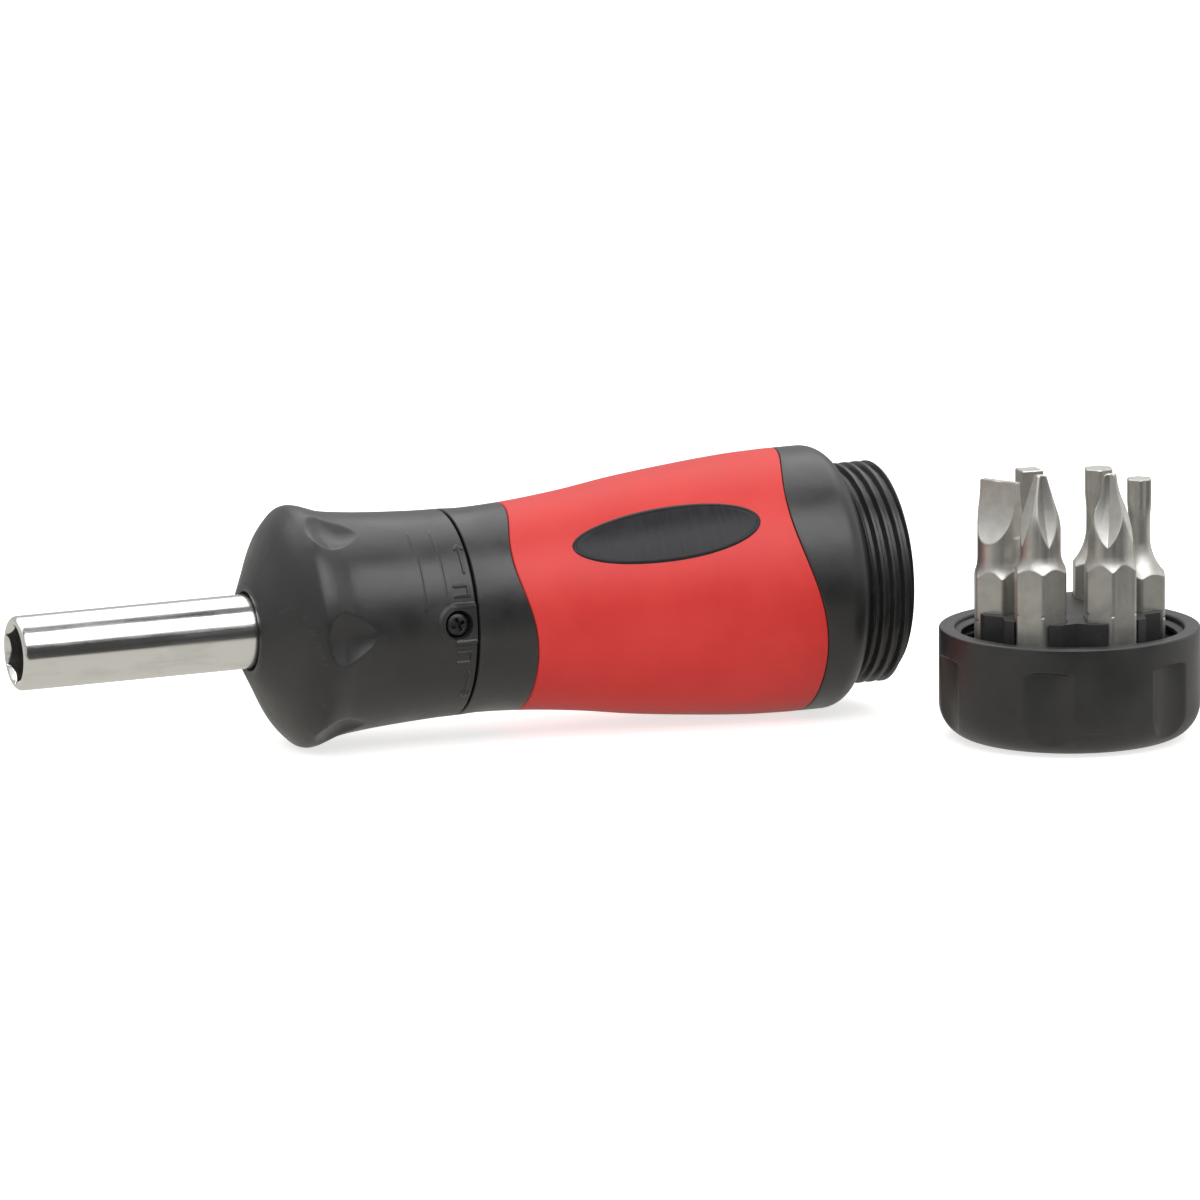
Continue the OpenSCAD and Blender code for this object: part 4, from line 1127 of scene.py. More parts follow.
@dataclass
class HandleCore:
    """Black inner handle: spigot, front and rear bands, shoulder, threaded neck and bit store."""

    form: HandleForm
    thread: Thread
    hub_floor: float = 57.7
    hub_radius: float = 6.05
    spigot_front: float = 46.0
    spigot_radius: float = 11.2
    spigot_chamfer: float = 0.2
    leaf_turn: float = 266.0
    leaf_half_angle: float = 22.5
    leaf_at: float = 51.0
    leaf_half: float = 1.51
    leaf_step: float = 0.01
    leaf_radius: float = 10.48
    front_edge: tuple = ((0.0, -0.3), (0.05, -0.1))
    front_edge_end: float = 0.15
    recess: float = 1.85
    recess_gap: float = 0.02
    seam_round: float = 0.16
    seam_turns: tuple = (30.0, 60.0, 90.0)
    thread_crest: float = 112.2
    thread_turn: float = 45.0
    thread_root: float = 13.45
    thread_from: float = 0.2
    thread_run_in: float = 1.0
    neck_end: float = 116.6
    neck_chamfer: Span = (0.3, 0.25)
    store_radius: float = 12.6
    store_chamfer: float = 0.25
    store_row: float = 100.0
    store_floor: float = 87.6
    well_radius: float = 9.5
    well_row: float = 75.0
    well_floor: float = 65.1
    columns: int = 288
    front_rows: int = 14
    recess_rows: int = 24
    rear_rows: int = 10
    shoulder_rows: int = 15
    shoulder_from: float = 6.0
    neck_rows: int = 125

    def neck(self, w: Array, angle: Array) -> Array:
        """Radius of the neck: root plus thread, which runs in behind the shoulder and out at the end.

        Args:
            w: Places along the axis.
            angle: Angles round the axis.

        Returns:
            Radii with the shape of w and angle together.
        """
        thread = self.thread.height(w, angle - self.thread_turn, self.thread_crest)
        start = self.form.rear + self.thread_from
        run, drop = self.neck_chamfer
        return (self.thread_root + thread * ramp(w, start, start + self.thread_run_in)
                - drop * ramp(w, self.neck_end - run, self.neck_end))

    def spigot(self, skin: Skin) -> None:
        """Adds the hub's bore and the spigot with its recess for the detent's leaf.

        Args:
            skin: Skin that gets the rows.
        """
        skin.path((self.hub_floor, 0.0), (self.hub_floor, self.hub_radius),
                  (self.spigot_front, self.hub_radius),
                  (self.spigot_front, self.spigot_radius - self.spigot_chamfer),
                  (self.spigot_front + self.spigot_chamfer, self.spigot_radius))
        reach = self.leaf_half + np.array([self.leaf_step, -self.leaf_step])
        w = np.concatenate([self.leaf_at - reach, self.leaf_at + reach[::-1], [self.form.front]])[:, None]
        near = np.abs(wrapped(skin.angle[None, :] - self.leaf_turn)) < self.leaf_half_angle
        leaf = near & (np.abs(w - self.leaf_at) < self.leaf_half)
        skin.add(w, np.where(leaf, self.leaf_radius, self.spigot_radius))

    def outside(self, skin: Skin) -> None:
        """Adds the front band, the recess under the grip, the rear band and the shoulder.

        The bands' edges to the grip are rounded by a quarter circle.

        Args:
            skin: Skin that gets the rows.
        """
        form, around = self.form, skin.angle[None, :]
        roll = np.radians(self.seam_turns)[:, None]
        inset = self.seam_round + self.recess_gap
        skin.edge(form.front, form.front_radius, self.front_edge)
        start, edge, back = form.front + self.front_edge_end, form.grip_front(around), form.grip_rear(around)
        w = start + shares(self.front_rows) * (edge - inset - start)
        skin.add(w, form.radius(w))
        skin.add(edge - inset + self.seam_round * np.sin(roll),
                 form.radius(edge) - self.seam_round * (1.0 - np.cos(roll)))
        skin.add(edge - self.recess_gap, form.radius(edge) - self.recess)
        w = (edge + shares(self.recess_rows) * (back - edge))[1:-1]
        skin.add(w, form.radius(w) - self.recess)
        skin.add(back + self.recess_gap, form.radius(back) - self.recess)
        skin.add(back + inset - self.seam_round * np.sin(roll[::-1]),
                 form.radius(back) - self.seam_round * (1.0 - np.cos(roll[::-1])))
        stop = form.rear - form.shoulder
        w = back + inset + shares(self.rear_rows) * (stop - back - inset)
        skin.add(w, form.radius(w))
        turn = np.radians(np.linspace(self.shoulder_from, 90.0, self.shoulder_rows))
        w = stop + form.shoulder * np.sin(turn)
        skin.add(w, form.radius(w))

    def build(self, lie: Lie) -> bpy.types.Object:
        """Turns the whole section as one skin from the hub's floor round the outside to the well's floor.

        Args:
            lie: Place of the driver.

        Returns:
            The new object.
        """
        skin = Skin(turn_steps(self.columns))
        self.spigot(skin)
        self.outside(skin)
        w = np.linspace(self.form.rear, self.neck_end, self.neck_rows)[:, None]
        skin.add(w, self.neck(w, skin.angle[None, :]))
        skin.path((self.neck_end, self.store_radius + self.store_chamfer),
                  (self.neck_end - self.store_chamfer, self.store_radius),
                  (self.store_row, self.store_radius), (self.store_floor, self.store_radius),
                  (self.store_floor, self.well_radius), (self.well_row, self.well_radius),
                  (self.well_floor, self.well_radius), (self.well_floor, 0.0))
        return skin.piece("handle_core_moulded", lie, sharp=SHARP_MOULDED)

    def dress(self, lie: Lie, finish: bpy.types.Material) -> None:
        """Builds the core and gives it its plastic."""
        fit_out(self.build(lie), "handle", "handle_core", finish)


@dataclass
class BadgeForm:
    """Oval outline of the badge on the handle's side, shared by the plate and its pocket."""

    at: float = 83.84
    turn: float = 50.0
    half_length: float = 12.35
    half_width: float = 4.2
    slimmer: float = 0.06

    def slim(self, a: Array) -> Array:
        """Share of the half width that is left at an angle of the outline: least at its front end."""
        return 1.0 - self.slimmer * (1.0 + np.cos(a))

    def offset(self, angle: Array, inset: Array) -> tuple[Array, Array]:
        """Distances forward and round of the outline's point at an angle, moved in by an inset."""
        a = np.radians(angle)
        return (self.half_length - inset) * np.cos(a), (self.half_width * self.slim(a) - inset) * np.sin(a)

    def reach(self, forward: Array, across: Array) -> Array:
        """Share of the way from the middle to the outline, 1 on it."""
        a = np.arctan2(across / self.half_width, forward / self.half_length)
        return np.hypot(forward / self.half_length, across / (self.half_width * self.slim(a)))


@dataclass
class SoftGrip:
    """Red rubber sleeve set flush in the handle, with a pocket for the badge."""

    form: HandleForm
    badge: BadgeForm
    thickness: float = 1.7
    roll: float = 0.22
    roll_angle: float = 80.0
    gap: float = 0.03
    pocket_depth: float = 1.1
    pocket_edge: Span = (0.9, 0.975)
    pocket_half_angle: float = 40.0
    fine_span: Span = (28.0, 72.0)
    fine_columns: int = 110
    plain_columns: int = 160
    roll_rows: int = 5
    outer_rows: int = 150
    inner_rows: int = 24

    def outside(self, w: Array, angle: Array) -> Array:
        """Radius of the handle, dropped under the badge by a smooth step inside the badge's outline.

        Args:
            w: Places along the axis.
            angle: Angles round the axis.

        Returns:
            Radii with the shape of w and angle together.
        """
        r = self.form.radius(w)
        reach = self.badge.reach(self.badge.at - w, arc_length(angle, self.badge.turn, r))
        near = np.abs(wrapped(angle - self.badge.turn)) < self.pocket_half_angle
        return r - np.where(near, self.pocket_depth * (1.0 - ramp(reach, *self.pocket_edge)), 0.0)

    def build(self, lie: Lie) -> bpy.types.Object:
        """Turns the sleeve as a closed loop: rolled front edge, outside, rolled rear edge and inside.

        Args:
            lie: Place of the driver.

        Returns:
            The new object.
        """
        start, stop = self.fine_span
        angle = spaced((start, stop, self.fine_columns), (stop, start + 360.0, self.plain_columns))
        around = angle[None, :]
        form, skin = self.form, Skin(angle)
        front, back = form.grip_front(around) + self.gap, form.grip_rear(around) - self.gap
        turn = np.radians(np.linspace(0.0, self.roll_angle, self.roll_rows))[:, None]
        skin.add(front, form.radius(front) - self.thickness)
        skin.add(front + self.roll * (1.0 - np.cos(turn)),
                 form.radius(front) - self.roll * (1.0 - np.sin(turn)))
        w = front + self.roll + shares(self.outer_rows) * (back - front - 2.0 * self.roll)
        skin.add(w, self.outside(w, around))
        turn = turn[::-1]
        skin.add(back - self.roll * (1.0 - np.cos(turn)),
                 form.radius(back) - self.roll * (1.0 - np.sin(turn)))
        w = (back + shares(self.inner_rows) * (front - back))[:-1]
        skin.add(w, form.radius(w) - self.thickness)
        return skin.piece("soft_grip_sleeve", lie, loop=True, sharp=SHARP_MOULDED)

    def dress(self, lie: Lie) -> None:
        """Builds the sleeve and gives it its rubber."""
        fit_out(self.build(lie), "handle", "grip", RedRubber().make())


@dataclass
class Badge:
    """Bare oval plate with a bevelled rim, bent to the handle."""

    handle: HandleForm
    form: BadgeForm
    face_inset: float = 0.6
    face_height: float = 0.06
    rim: tuple = ((0.55, 0.07), (0.46, 0.15), (0.38, 0.165), (0.1, 0.1), (0.03, 0.06), (0.0, -0.02),
                  (0.0, -0.3))
    under_inset: float = 0.3
    depth: float = 0.85
    round_length: float = 50.0
    row_length: float = 0.4
    columns: int = 240
    face_rows: int = 22

    def build(self, lie: Lie) -> bpy.types.Object:
        """Oval rows from the middle over the rim to the underside, each laid on the handle's outside.

        A row has its share of the way to the outline, its inset from it and its height above the handle.

        Args:
            lie: Place of the driver.

        Returns:
            The new object.
        """
        angle = turn_steps(self.columns)
        rows = [(share, self.face_inset, self.face_height) for share in np.linspace(0.0, 1.0, self.face_rows)]
        rows += [(1.0, inset, proud) for inset, proud in (*self.rim, (self.under_inset, -self.depth))]
        rows += [(0.0, self.under_inset, -self.depth)]
        share, inset, proud = (np.array(column)[:, None] for column in zip(*rows))
        forward, across = self.form.offset(angle[None, :], inset)
        w = self.form.at - share * forward
        radius = self.handle.radius(w) + proud
        turn = self.form.turn + np.degrees(np.arcsin(share * across / radius))
        u = np.append(angle, 360.0) / 360.0 * self.round_length
        v = np.arange(len(rows)) * self.row_length
        return sheet_piece("badge_plate", lie.place(radius, turn, w), u, v)

    def dress(self, lie: Lie) -> None:
        """Builds the plate and gives it its gloss."""
        fit_out(self.build(lie), "handle", "badge", BadgeGloss().make())


@dataclass
class Cap:
    """Screw-off cap that stands mouth up, with six flutes round it."""

    thread: Thread
    radius: float = 16.7
    height: float = 14.2
    base_round: float = 4.5
    hollow_depth: float = 0.25
    hollow_radius: float = 8.0
    hollow_slope: float = 0.6
    bore_radius: float = 14.6
    bore_round: float = 0.4
    floor: float = 2.4
    flute_count: int = 6
    flute_turn: float = -0.5
    flute_radius: float = 6.87
    flute_centre: float = 22.5
    flute_top: float = 11.4
    flute_end: Span = (-0.75, 0.35)
    flute_lift: float = 2.5
    flute_rows: Span = (-1.0, 0.6)
    crease: float = 0.04
    rim_round: float = 0.3
    thread_crest: float = 1.4
    thread_rows: Span = (0.5, 5.5)
    thread_top: Span = (-1.0, -0.5)
    thread_foot: Span = (-5.4, -4.8)
    far: float = 99.0
    columns: int = 360
    base_rows: int = 26
    base_to: float = 84.0
    wall_counts: tuple = (14, 22, 5)
    roll_rows: int = 7
    bore_rows: int = 74

    def outside(self, z: Array, angle: Array) -> Array:
        """Radius of the wall: a quarter-round foot and a straight side, hollowed by round flutes.

        A flute is the near side of a circle about a point outside the cap, and fades out at its top.

        Args:
            z: Heights.
            angle: Angles round the cap.

        Returns:
            Radii with the shape of z and angle together.
        """
        under = np.clip(self.base_round - z, 0.0, self.base_round)
        r = self.radius - self.base_round + np.sqrt(self.base_round**2 - under**2)
        off = np.radians(from_nearest(angle, self.flute_turn, self.flute_count))
        inside = np.maximum(self.flute_radius**2 - (self.flute_centre * np.sin(off)) ** 2, 0.0)
        flute = np.where(inside > 0.0, self.flute_centre * np.cos(off) - np.sqrt(inside), self.far)
        flute = flute + self.flute_lift * ramp(z - self.flute_top, *self.flute_end)
        return soft_min(r, flute, self.crease)

    def bore(self, z: Array, angle: Array) -> Array:
        """Radius of the threaded bore, whose thread fades out at both ends.

        Args:
            z: Heights.
            angle: Angles round the cap.

        Returns:
            Radii with the shape of z and angle together.
        """
        thread = self.thread.height(z, angle, self.height - self.thread_crest)
        below = z - self.height
        fade = ramp(below, *self.thread_foot) * (1.0 - ramp(below, *self.thread_top))
        return self.bore_radius - thread * fade

    def build(self, stand: Stand) -> bpy.types.Object:
        """Turns the base, the fluted wall, the rim, the threaded bore and the floor as one skin.

        Args:
            stand: Place of the cap.

        Returns:
            The new object.
        """
        angle = turn_steps(self.columns)
        around = angle[None, :]
        skin = Skin(angle)
        skin.path((self.hollow_depth, 0.0), (self.hollow_depth, self.hollow_radius),
                  (0.0, self.hollow_radius + self.hollow_slope))
        turn = np.radians(np.linspace(0.0, self.base_to, self.base_rows))
        z = self.base_round * (1.0 - np.cos(turn))[:, None]
        skin.add(z, self.outside(z, around))
        breaks = (self.base_round, *(self.flute_top + end for end in self.flute_rows),
                  self.height - self.rim_round)
        z = rows_between(breaks, self.wall_counts)[:-1]
        skin.add(z, self.outside(z, around))
        roll = np.radians(np.linspace(0.0, 90.0, self.roll_rows))
        skin.add(self.height - self.rim_round * (1.0 - np.sin(roll)),
                 self.radius - self.rim_round * (1.0 - np.cos(roll)))
        skin.add(self.height - self.bore_round * (1.0 - np.cos(roll)),
                 self.bore_radius + self.bore_round * (1.0 - np.sin(roll)))
        first, last = self.thread_rows
        z = np.linspace(self.height - first, self.height - last, self.bore_rows)[:, None]
        skin.add(z, self.bore(z, around))
        skin.path((self.floor + self.bore_round, self.bore_radius),
                  (self.floor, self.bore_radius - self.bore_round), (self.floor, 0.0))
        return skin.piece("cap_fluted", stand, sharp=SHARP_MOULDED)

    def dress(self, stand: Stand, finish: bpy.types.Material) -> None:
        """Builds the cap and gives it its plastic."""
        fit_out(self.build(stand), "cap", "cap", finish)


@dataclass
class BitHolder:
    """Block of six open hex cells that stands in the cap."""

    count: int = 6
    ring_radius: float = 8.9
    ring_turn: float = -16.0
    outer_radius: float = 11.9
    groove_radius: float = 10.42
    lip_angle: float = 19.3
    slot_half: float = 2.45
    cell_flats: float = 6.55
    foot: float = 2.4
    cell_floor: float = 7.7
    raised_floor: float = 9.8
    raised_from: int = 4
    top: float = 16.4
    eased: float = 0.16
    eased_from: float = 25.0
    eased_rows: int = 2
    lip_points: int = 5

    def cell_turn(self, cell: int) -> float:
        """Direction of a cell from the cap's middle."""
        return self.ring_turn + cell * 360.0 / self.count

    def floor(self, cell: int) -> float:
        """Height of a cell's floor."""
        return self.cell_floor if cell < self.raised_from else self.raised_floor

    def cell(self, is_open: bool) -> Array:
        """Outline of one sixth of the block, about its cell's own direction.

        It runs from the groove before the cell to the outer arc, for an open cell through the slot
        round the hex corners and out again, and back down to the next groove.

        Args:
            is_open: True if the cell is cut into the block.

        Returns:
            Points in order.
        """
        a = math.radians(-180.0 / self.count)
        groove = self.groove_radius * np.array([[math.cos(a), math.sin(a)]])
        stop = math.degrees(math.asin(self.slot_half / self.outer_radius)) if is_open else 0.0
        arc = np.radians(np.linspace(-self.lip_angle, -stop, self.lip_points))
        arc = self.outer_radius * np.column_stack([np.cos(arc), np.sin(arc)])
        if not is_open:
            return np.concatenate([groove, arc, (arc * [1.0, -1.0])[-2::-1]])
        corner = hex_corner(self.cell_flats)
        slot = self.cell_flats / 2.0 - (self.slot_half - corner / 2.0) * math.sqrt(3.0)
        turn = np.radians([270.0, 210.0])
        inner = np.column_stack([self.ring_radius + corner * np.cos(turn), corner * np.sin(turn)])
        side = np.concatenate([arc, [[self.ring_radius + slot, -self.slot_half]], inner])
        return np.concatenate([groove, side, (side * [1.0, -1.0])[::-1]])

    def ring(self, open_cells: int, stand: Stand) -> Array:
        """Outline of the whole block: each cell's sixth turned to its place, the first ones open.

        Args:
            open_cells: Number of cells that are cut into the block.
            stand: Place of the cap.

        Returns:
            Points in order.
        """
        sixths = []
        for k in range(self.count):
            turn = math.radians(self.cell_turn(k))
            spin = np.array([[math.cos(turn), math.sin(turn)], [-math.sin(turn), math.cos(turn)]])
            sixths.append(self.cell(k < open_cells) @ spin)
        return stand.centre[:2] + np.concatenate(sixths)

    def build(self, stand: Stand) -> bpy.types.Object:
        """Stacks the closed outline, the one with the deep cells open and the one with all cells open.

        Args:
            stand: Place of the cap.

        Returns:
            The new object, with its edges eased by a bevel.
        """
        piece = extruded_piece("bit_holder_block", [
            (self.ring(0, stand), self.foot, self.cell_floor),
            (self.ring(self.raised_from, stand), self.cell_floor, self.raised_floor),
            (self.ring(self.count, stand), self.raised_floor, self.top)])
        bevel = piece.modifiers.new("Eased edges", "BEVEL")
        bevel.width, bevel.segments = self.eased * MM, self.eased_rows
        bevel.limit_method, bevel.angle_limit = "ANGLE", math.radians(self.eased_from)
        bevel.use_clamp_overlap = True
        return piece

    def dress(self, stand: Stand, finish: bpy.types.Material) -> None:
        """Builds the holder and gives it its plastic."""
        fit_out(self.build(stand), "cap", "bit_holder", finish)


class Tip(Enum):
    """Working end of a driver bit."""

    BLADE = "blade"
    CROSS = "cross"
    STAR = "star"
    SQUARE = "square"


@dataclass
class DriverBit:
    """Quarter-inch hex insert bit that stands in a cell of the holder."""

    node: str
    tip: Tip
    cell: int
    neck_radius: float
    tip_turn: float = 0.0
    tip_radius: float = 0.0
    length: float = 25.4
    flats: float = 6.35
    flats_turn: float = 30.0
    corner_ease: float = 0.06
    corner_blend: float = 0.1
    chamfer: float = 0.5
    nick_at: float = 7.6
    nick_radius: float = 0.4
    nick_off: float = 0.24
    hex_length: float = 13.0
    flare: tuple = ((0.0, 1.0), (0.12, 0.72), (0.3, 0.42), (0.55, 0.16), (0.8, 0.03), (1.0, 0.0))
    flare_over: float = 0.5
    short_flare: float = 3.1
    long_flare: float = 5.5
    flare_slope: float = 3.0
    crease: float = 0.06
    tip_chamfer: float = 0.12
    blade_half: float = 0.5
    blade_grind: float = 14.0
    blade_reach: float = 13.0
    blade_side_from: Span = (16.6, 18.4)
    blade_side_lift: float = 3.0
    blade_crease: float = 0.04
    cross_cone: float = 6.0
    cross_blend: float = 0.4
    point_radius: float = 0.3
    point_round: float = 1.8
    point_blend: float = 0.15
    groove_wall: float = 68.0
    groove_core: float = 0.42
    groove_slope: float = 0.02
    groove_rise: float = 0.6
    groove_length: float = 9.2
    star_lobes: int = 6
    star_depth: float = 0.06
    star_from: Span = (6.0, 2.8)
    square_from: Span = (7.3, 6.7)
    row_breaks: tuple = (0.0, 0.6, 7.1, 8.1, 12.0, 17.0, 25.2)
    row_counts: tuple = (5, 5, 16, 5, 50, 82, 4)
    columns: int = 216

    def shank(self, s: Array, angle: Array) -> Array:
        """Radius of the hex shank and the neck above it.

        The lowest of five: the hex, its eased corners, the flare that runs in to the neck, the foot's
        chamfer, and a nick that is the near side of a circle about a point outside the corners.

        Args:
            s: Heights above the foot.
            angle: Angles round the bit.

        Returns:
            Radii with the shape of s and angle together.
        """
        corner = hex_corner(self.flats)
        r = soft_min(hex_wall(self.flats, angle), corner - self.corner_ease, self.corner_blend)
        start = self.hex_length - self.flare_over
        stop = start + (self.short_flare if self.tip in (Tip.BLADE, Tip.CROSS) else self.long_flare)
        rows = between((start, self.neck_radius), (stop, corner + self.flare_over), self.flare)
        below = np.clip(start - s, 0.0, None)
        r = soft_min(r, through(np.array(rows), s) + self.flare_slope * below, self.crease)
        bite = np.sqrt(np.maximum(self.nick_radius**2 - (s - self.nick_at) ** 2, 0.0))
        return np.minimum(np.minimum(r, corner - self.chamfer + s), corner + self.nick_off - bite)

    def blade(self, s: Array, angle: Array, r: Array) -> Array:
        """Cuts a blade: two faces hollowed by the grind's circle, and two straight sides.

        A flat at a distance from the axis has that distance over the sine or cosine of the angle from
        the blade as its radius.

        Args:
            s: Heights above the foot.
            angle: Angles round the bit.
            r: Radii of the blank.

        Returns:
            Radii with the shape of r.
        """
        a = np.radians(angle - self.tip_turn)
        down = np.clip(self.length - s, 0.0, self.blade_reach)
        half = self.blade_half + self.blade_grind - np.sqrt(self.blade_grind**2 - down**2)
        r = soft_min(r, half / np.maximum(np.abs(np.sin(a)), TINY), self.blade_crease)
        side = self.tip_radius / np.maximum(np.abs(np.cos(a)), TINY)
        side = side + self.blade_side_lift * (1.0 - ramp(s, *self.blade_side_from))
        return soft_min(r, side, self.blade_crease)

    def cross(self, s: Array, angle: Array, r: Array) -> Array:
        """Cuts a cone with a rounded point and four wide grooves.

        The point is a parabola.  A groove's bottom runs outwards below the tip by another parabola, and
        its walls stand at equal angles to it, so the radius is bottom * tan / (cos * tan - sin) of the
        angle from the groove's middle.

        Args:
            s: Heights above the foot.
            angle: Angles round the bit.
            r: Radii of the blank.

        Returns:
            Radii with the shape of r.
        """
        down = self.length - s
        cone = self.tip_radius + down * (self.neck_radius - self.tip_radius) / self.cross_cone
        r = soft_min(r, cone, self.cross_blend)
        point = self.point_radius + np.sqrt(self.point_round * np.maximum(down, 0.0))
        r = soft_min(r, point, self.point_blend)
        off = np.abs(np.radians(fold(angle - self.tip_turn, 90.0)))
        rise = (self.neck_radius - self.groove_rise) * (down / self.groove_length) ** 2
        bottom = self.groove_core + self.groove_slope * down + rise
        steep = math.tan(math.radians(self.groove_wall))
        groove = bottom * steep / np.maximum(np.cos(off) * steep - np.sin(off), TINY)
        return soft_min(r, groove, self.crease)

    def pointed(self, s: Array, angle: Array) -> Array:
        """Radius of the whole bit with its working end, which has a small chamfer.

        A star's radius is a cosine wave round it, a square's is half its width over the cosine of the
        angle from the nearest flat, and both take over from the neck by a smooth step.

        Args:
            s: Heights above the foot.
            angle: Angles round the bit.

        Returns:
            Radii with the shape of s and angle together.
        """
        r = self.shank(s, angle)
        if self.tip is Tip.BLADE:
            r = self.blade(s, angle, r)
        elif self.tip is Tip.CROSS:
            r = self.cross(s, angle, r)
        elif self.tip is Tip.STAR:
            wave = 1.0 - np.cos(np.radians(self.star_lobes * angle))
            star = self.tip_radius * (1.0 - self.star_depth * wave)
            r = r + (star - r) * ramp(s, *(self.length - below for below in self.star_from))
        else:
            square = self.tip_radius / np.cos(np.radians(fold(angle, 90.0)))
            r = r + (square - r) * ramp(s, *(self.length - below for below in self.square_from))
        end = np.clip(self.length - s, 0.0, self.tip_chamfer)
        return np.minimum(r, np.maximum(r - self.tip_chamfer, 0.0) + end)

    def build(self, stand: Stand, holder: BitHolder) -> bpy.types.Object:
        """Stacks rows of that radius from the foot to the tip, with a pole at each end.

        Args:
            stand: Place of the cap.
            holder: Holder in whose cell the bit stands.

        Returns:
            The new object.
        """
        floor, turn = holder.floor(self.cell), holder.cell_turn(self.cell)
        skin = Skin(turn_steps(self.columns))
        s = rows_between((*self.row_breaks, self.length), self.row_counts)
        skin.path((floor, 0.0))
        skin.add(floor + s, self.pointed(s, skin.angle[None, :]))
        skin.path((floor + self.length, 0.0))
        base = stand.on_ring(holder.ring_radius, turn, turn + self.flats_turn)
        return skin.piece(self.node + "_ground", base)

    def dress(self, stand: Stand, holder: BitHolder, finish: bpy.types.Material) -> None:
        """Builds the bit and gives it its steel."""
        fit_out(self.build(stand, holder), self.node, self.node, finish)


@dataclass
class InnerWorks:
    """Ratchet, bushes, springs and magnet that stay as the CAD made them and get their own finishes."""

    steel: tuple = ("ratchet_gear", "forward_pawl", "reverse_pawl", "pawl_pins", "shaft_clip",
                    "carrier_screws", "rear_washer", "pawl_carrier")
    springs: tuple = ("pawl_spring", "detent_spring")
    bushes: tuple = ("front_bush", "rear_bush")

    def dress(self, nodes: dict) -> None:
        """Gives every carried-over node its finish.

        Args:
            nodes: The CAD nodes by name.
        """
        machined = WorkedSteel("gear_steel_machined", (0.56, 0.56, 0.57), (0.42, 0.42, 0.43), roughness=0.3,
                               lines_on="Object", along=700.0).make()
        wire = WorkedSteel("spring_steel_drawn", (0.6, 0.61, 0.63), (0.47, 0.48, 0.5), roughness=0.24,
                           lines_on="Object", along=1500.0).make()
        bronze = WorkedSteel("bronze_sintered", (0.62, 0.42, 0.18), (0.47, 0.3, 0.12), roughness=0.4,
                             lines_on="Object", along=2600.0).make()
        nickel = WorkedSteel("magnet_nickel", (0.5, 0.49, 0.47), (0.36, 0.35, 0.34), roughness=0.26,
                             lines_on="Object", along=800.0).make()
        finishes = {**dict.fromkeys(self.steel, machined), **dict.fromkeys(self.springs, wire),
                    **dict.fromkeys(self.bushes, bronze), "bit_magnet": nickel,
                    "cam_ring": CreamAcetal().make()}
        for name, finish in finishes.items():
            mesh = nodes[name].data
            mesh.materials.clear()
            mesh.materials.append(finish)
            LOG.info("%s: finish %s", name, finish.name)


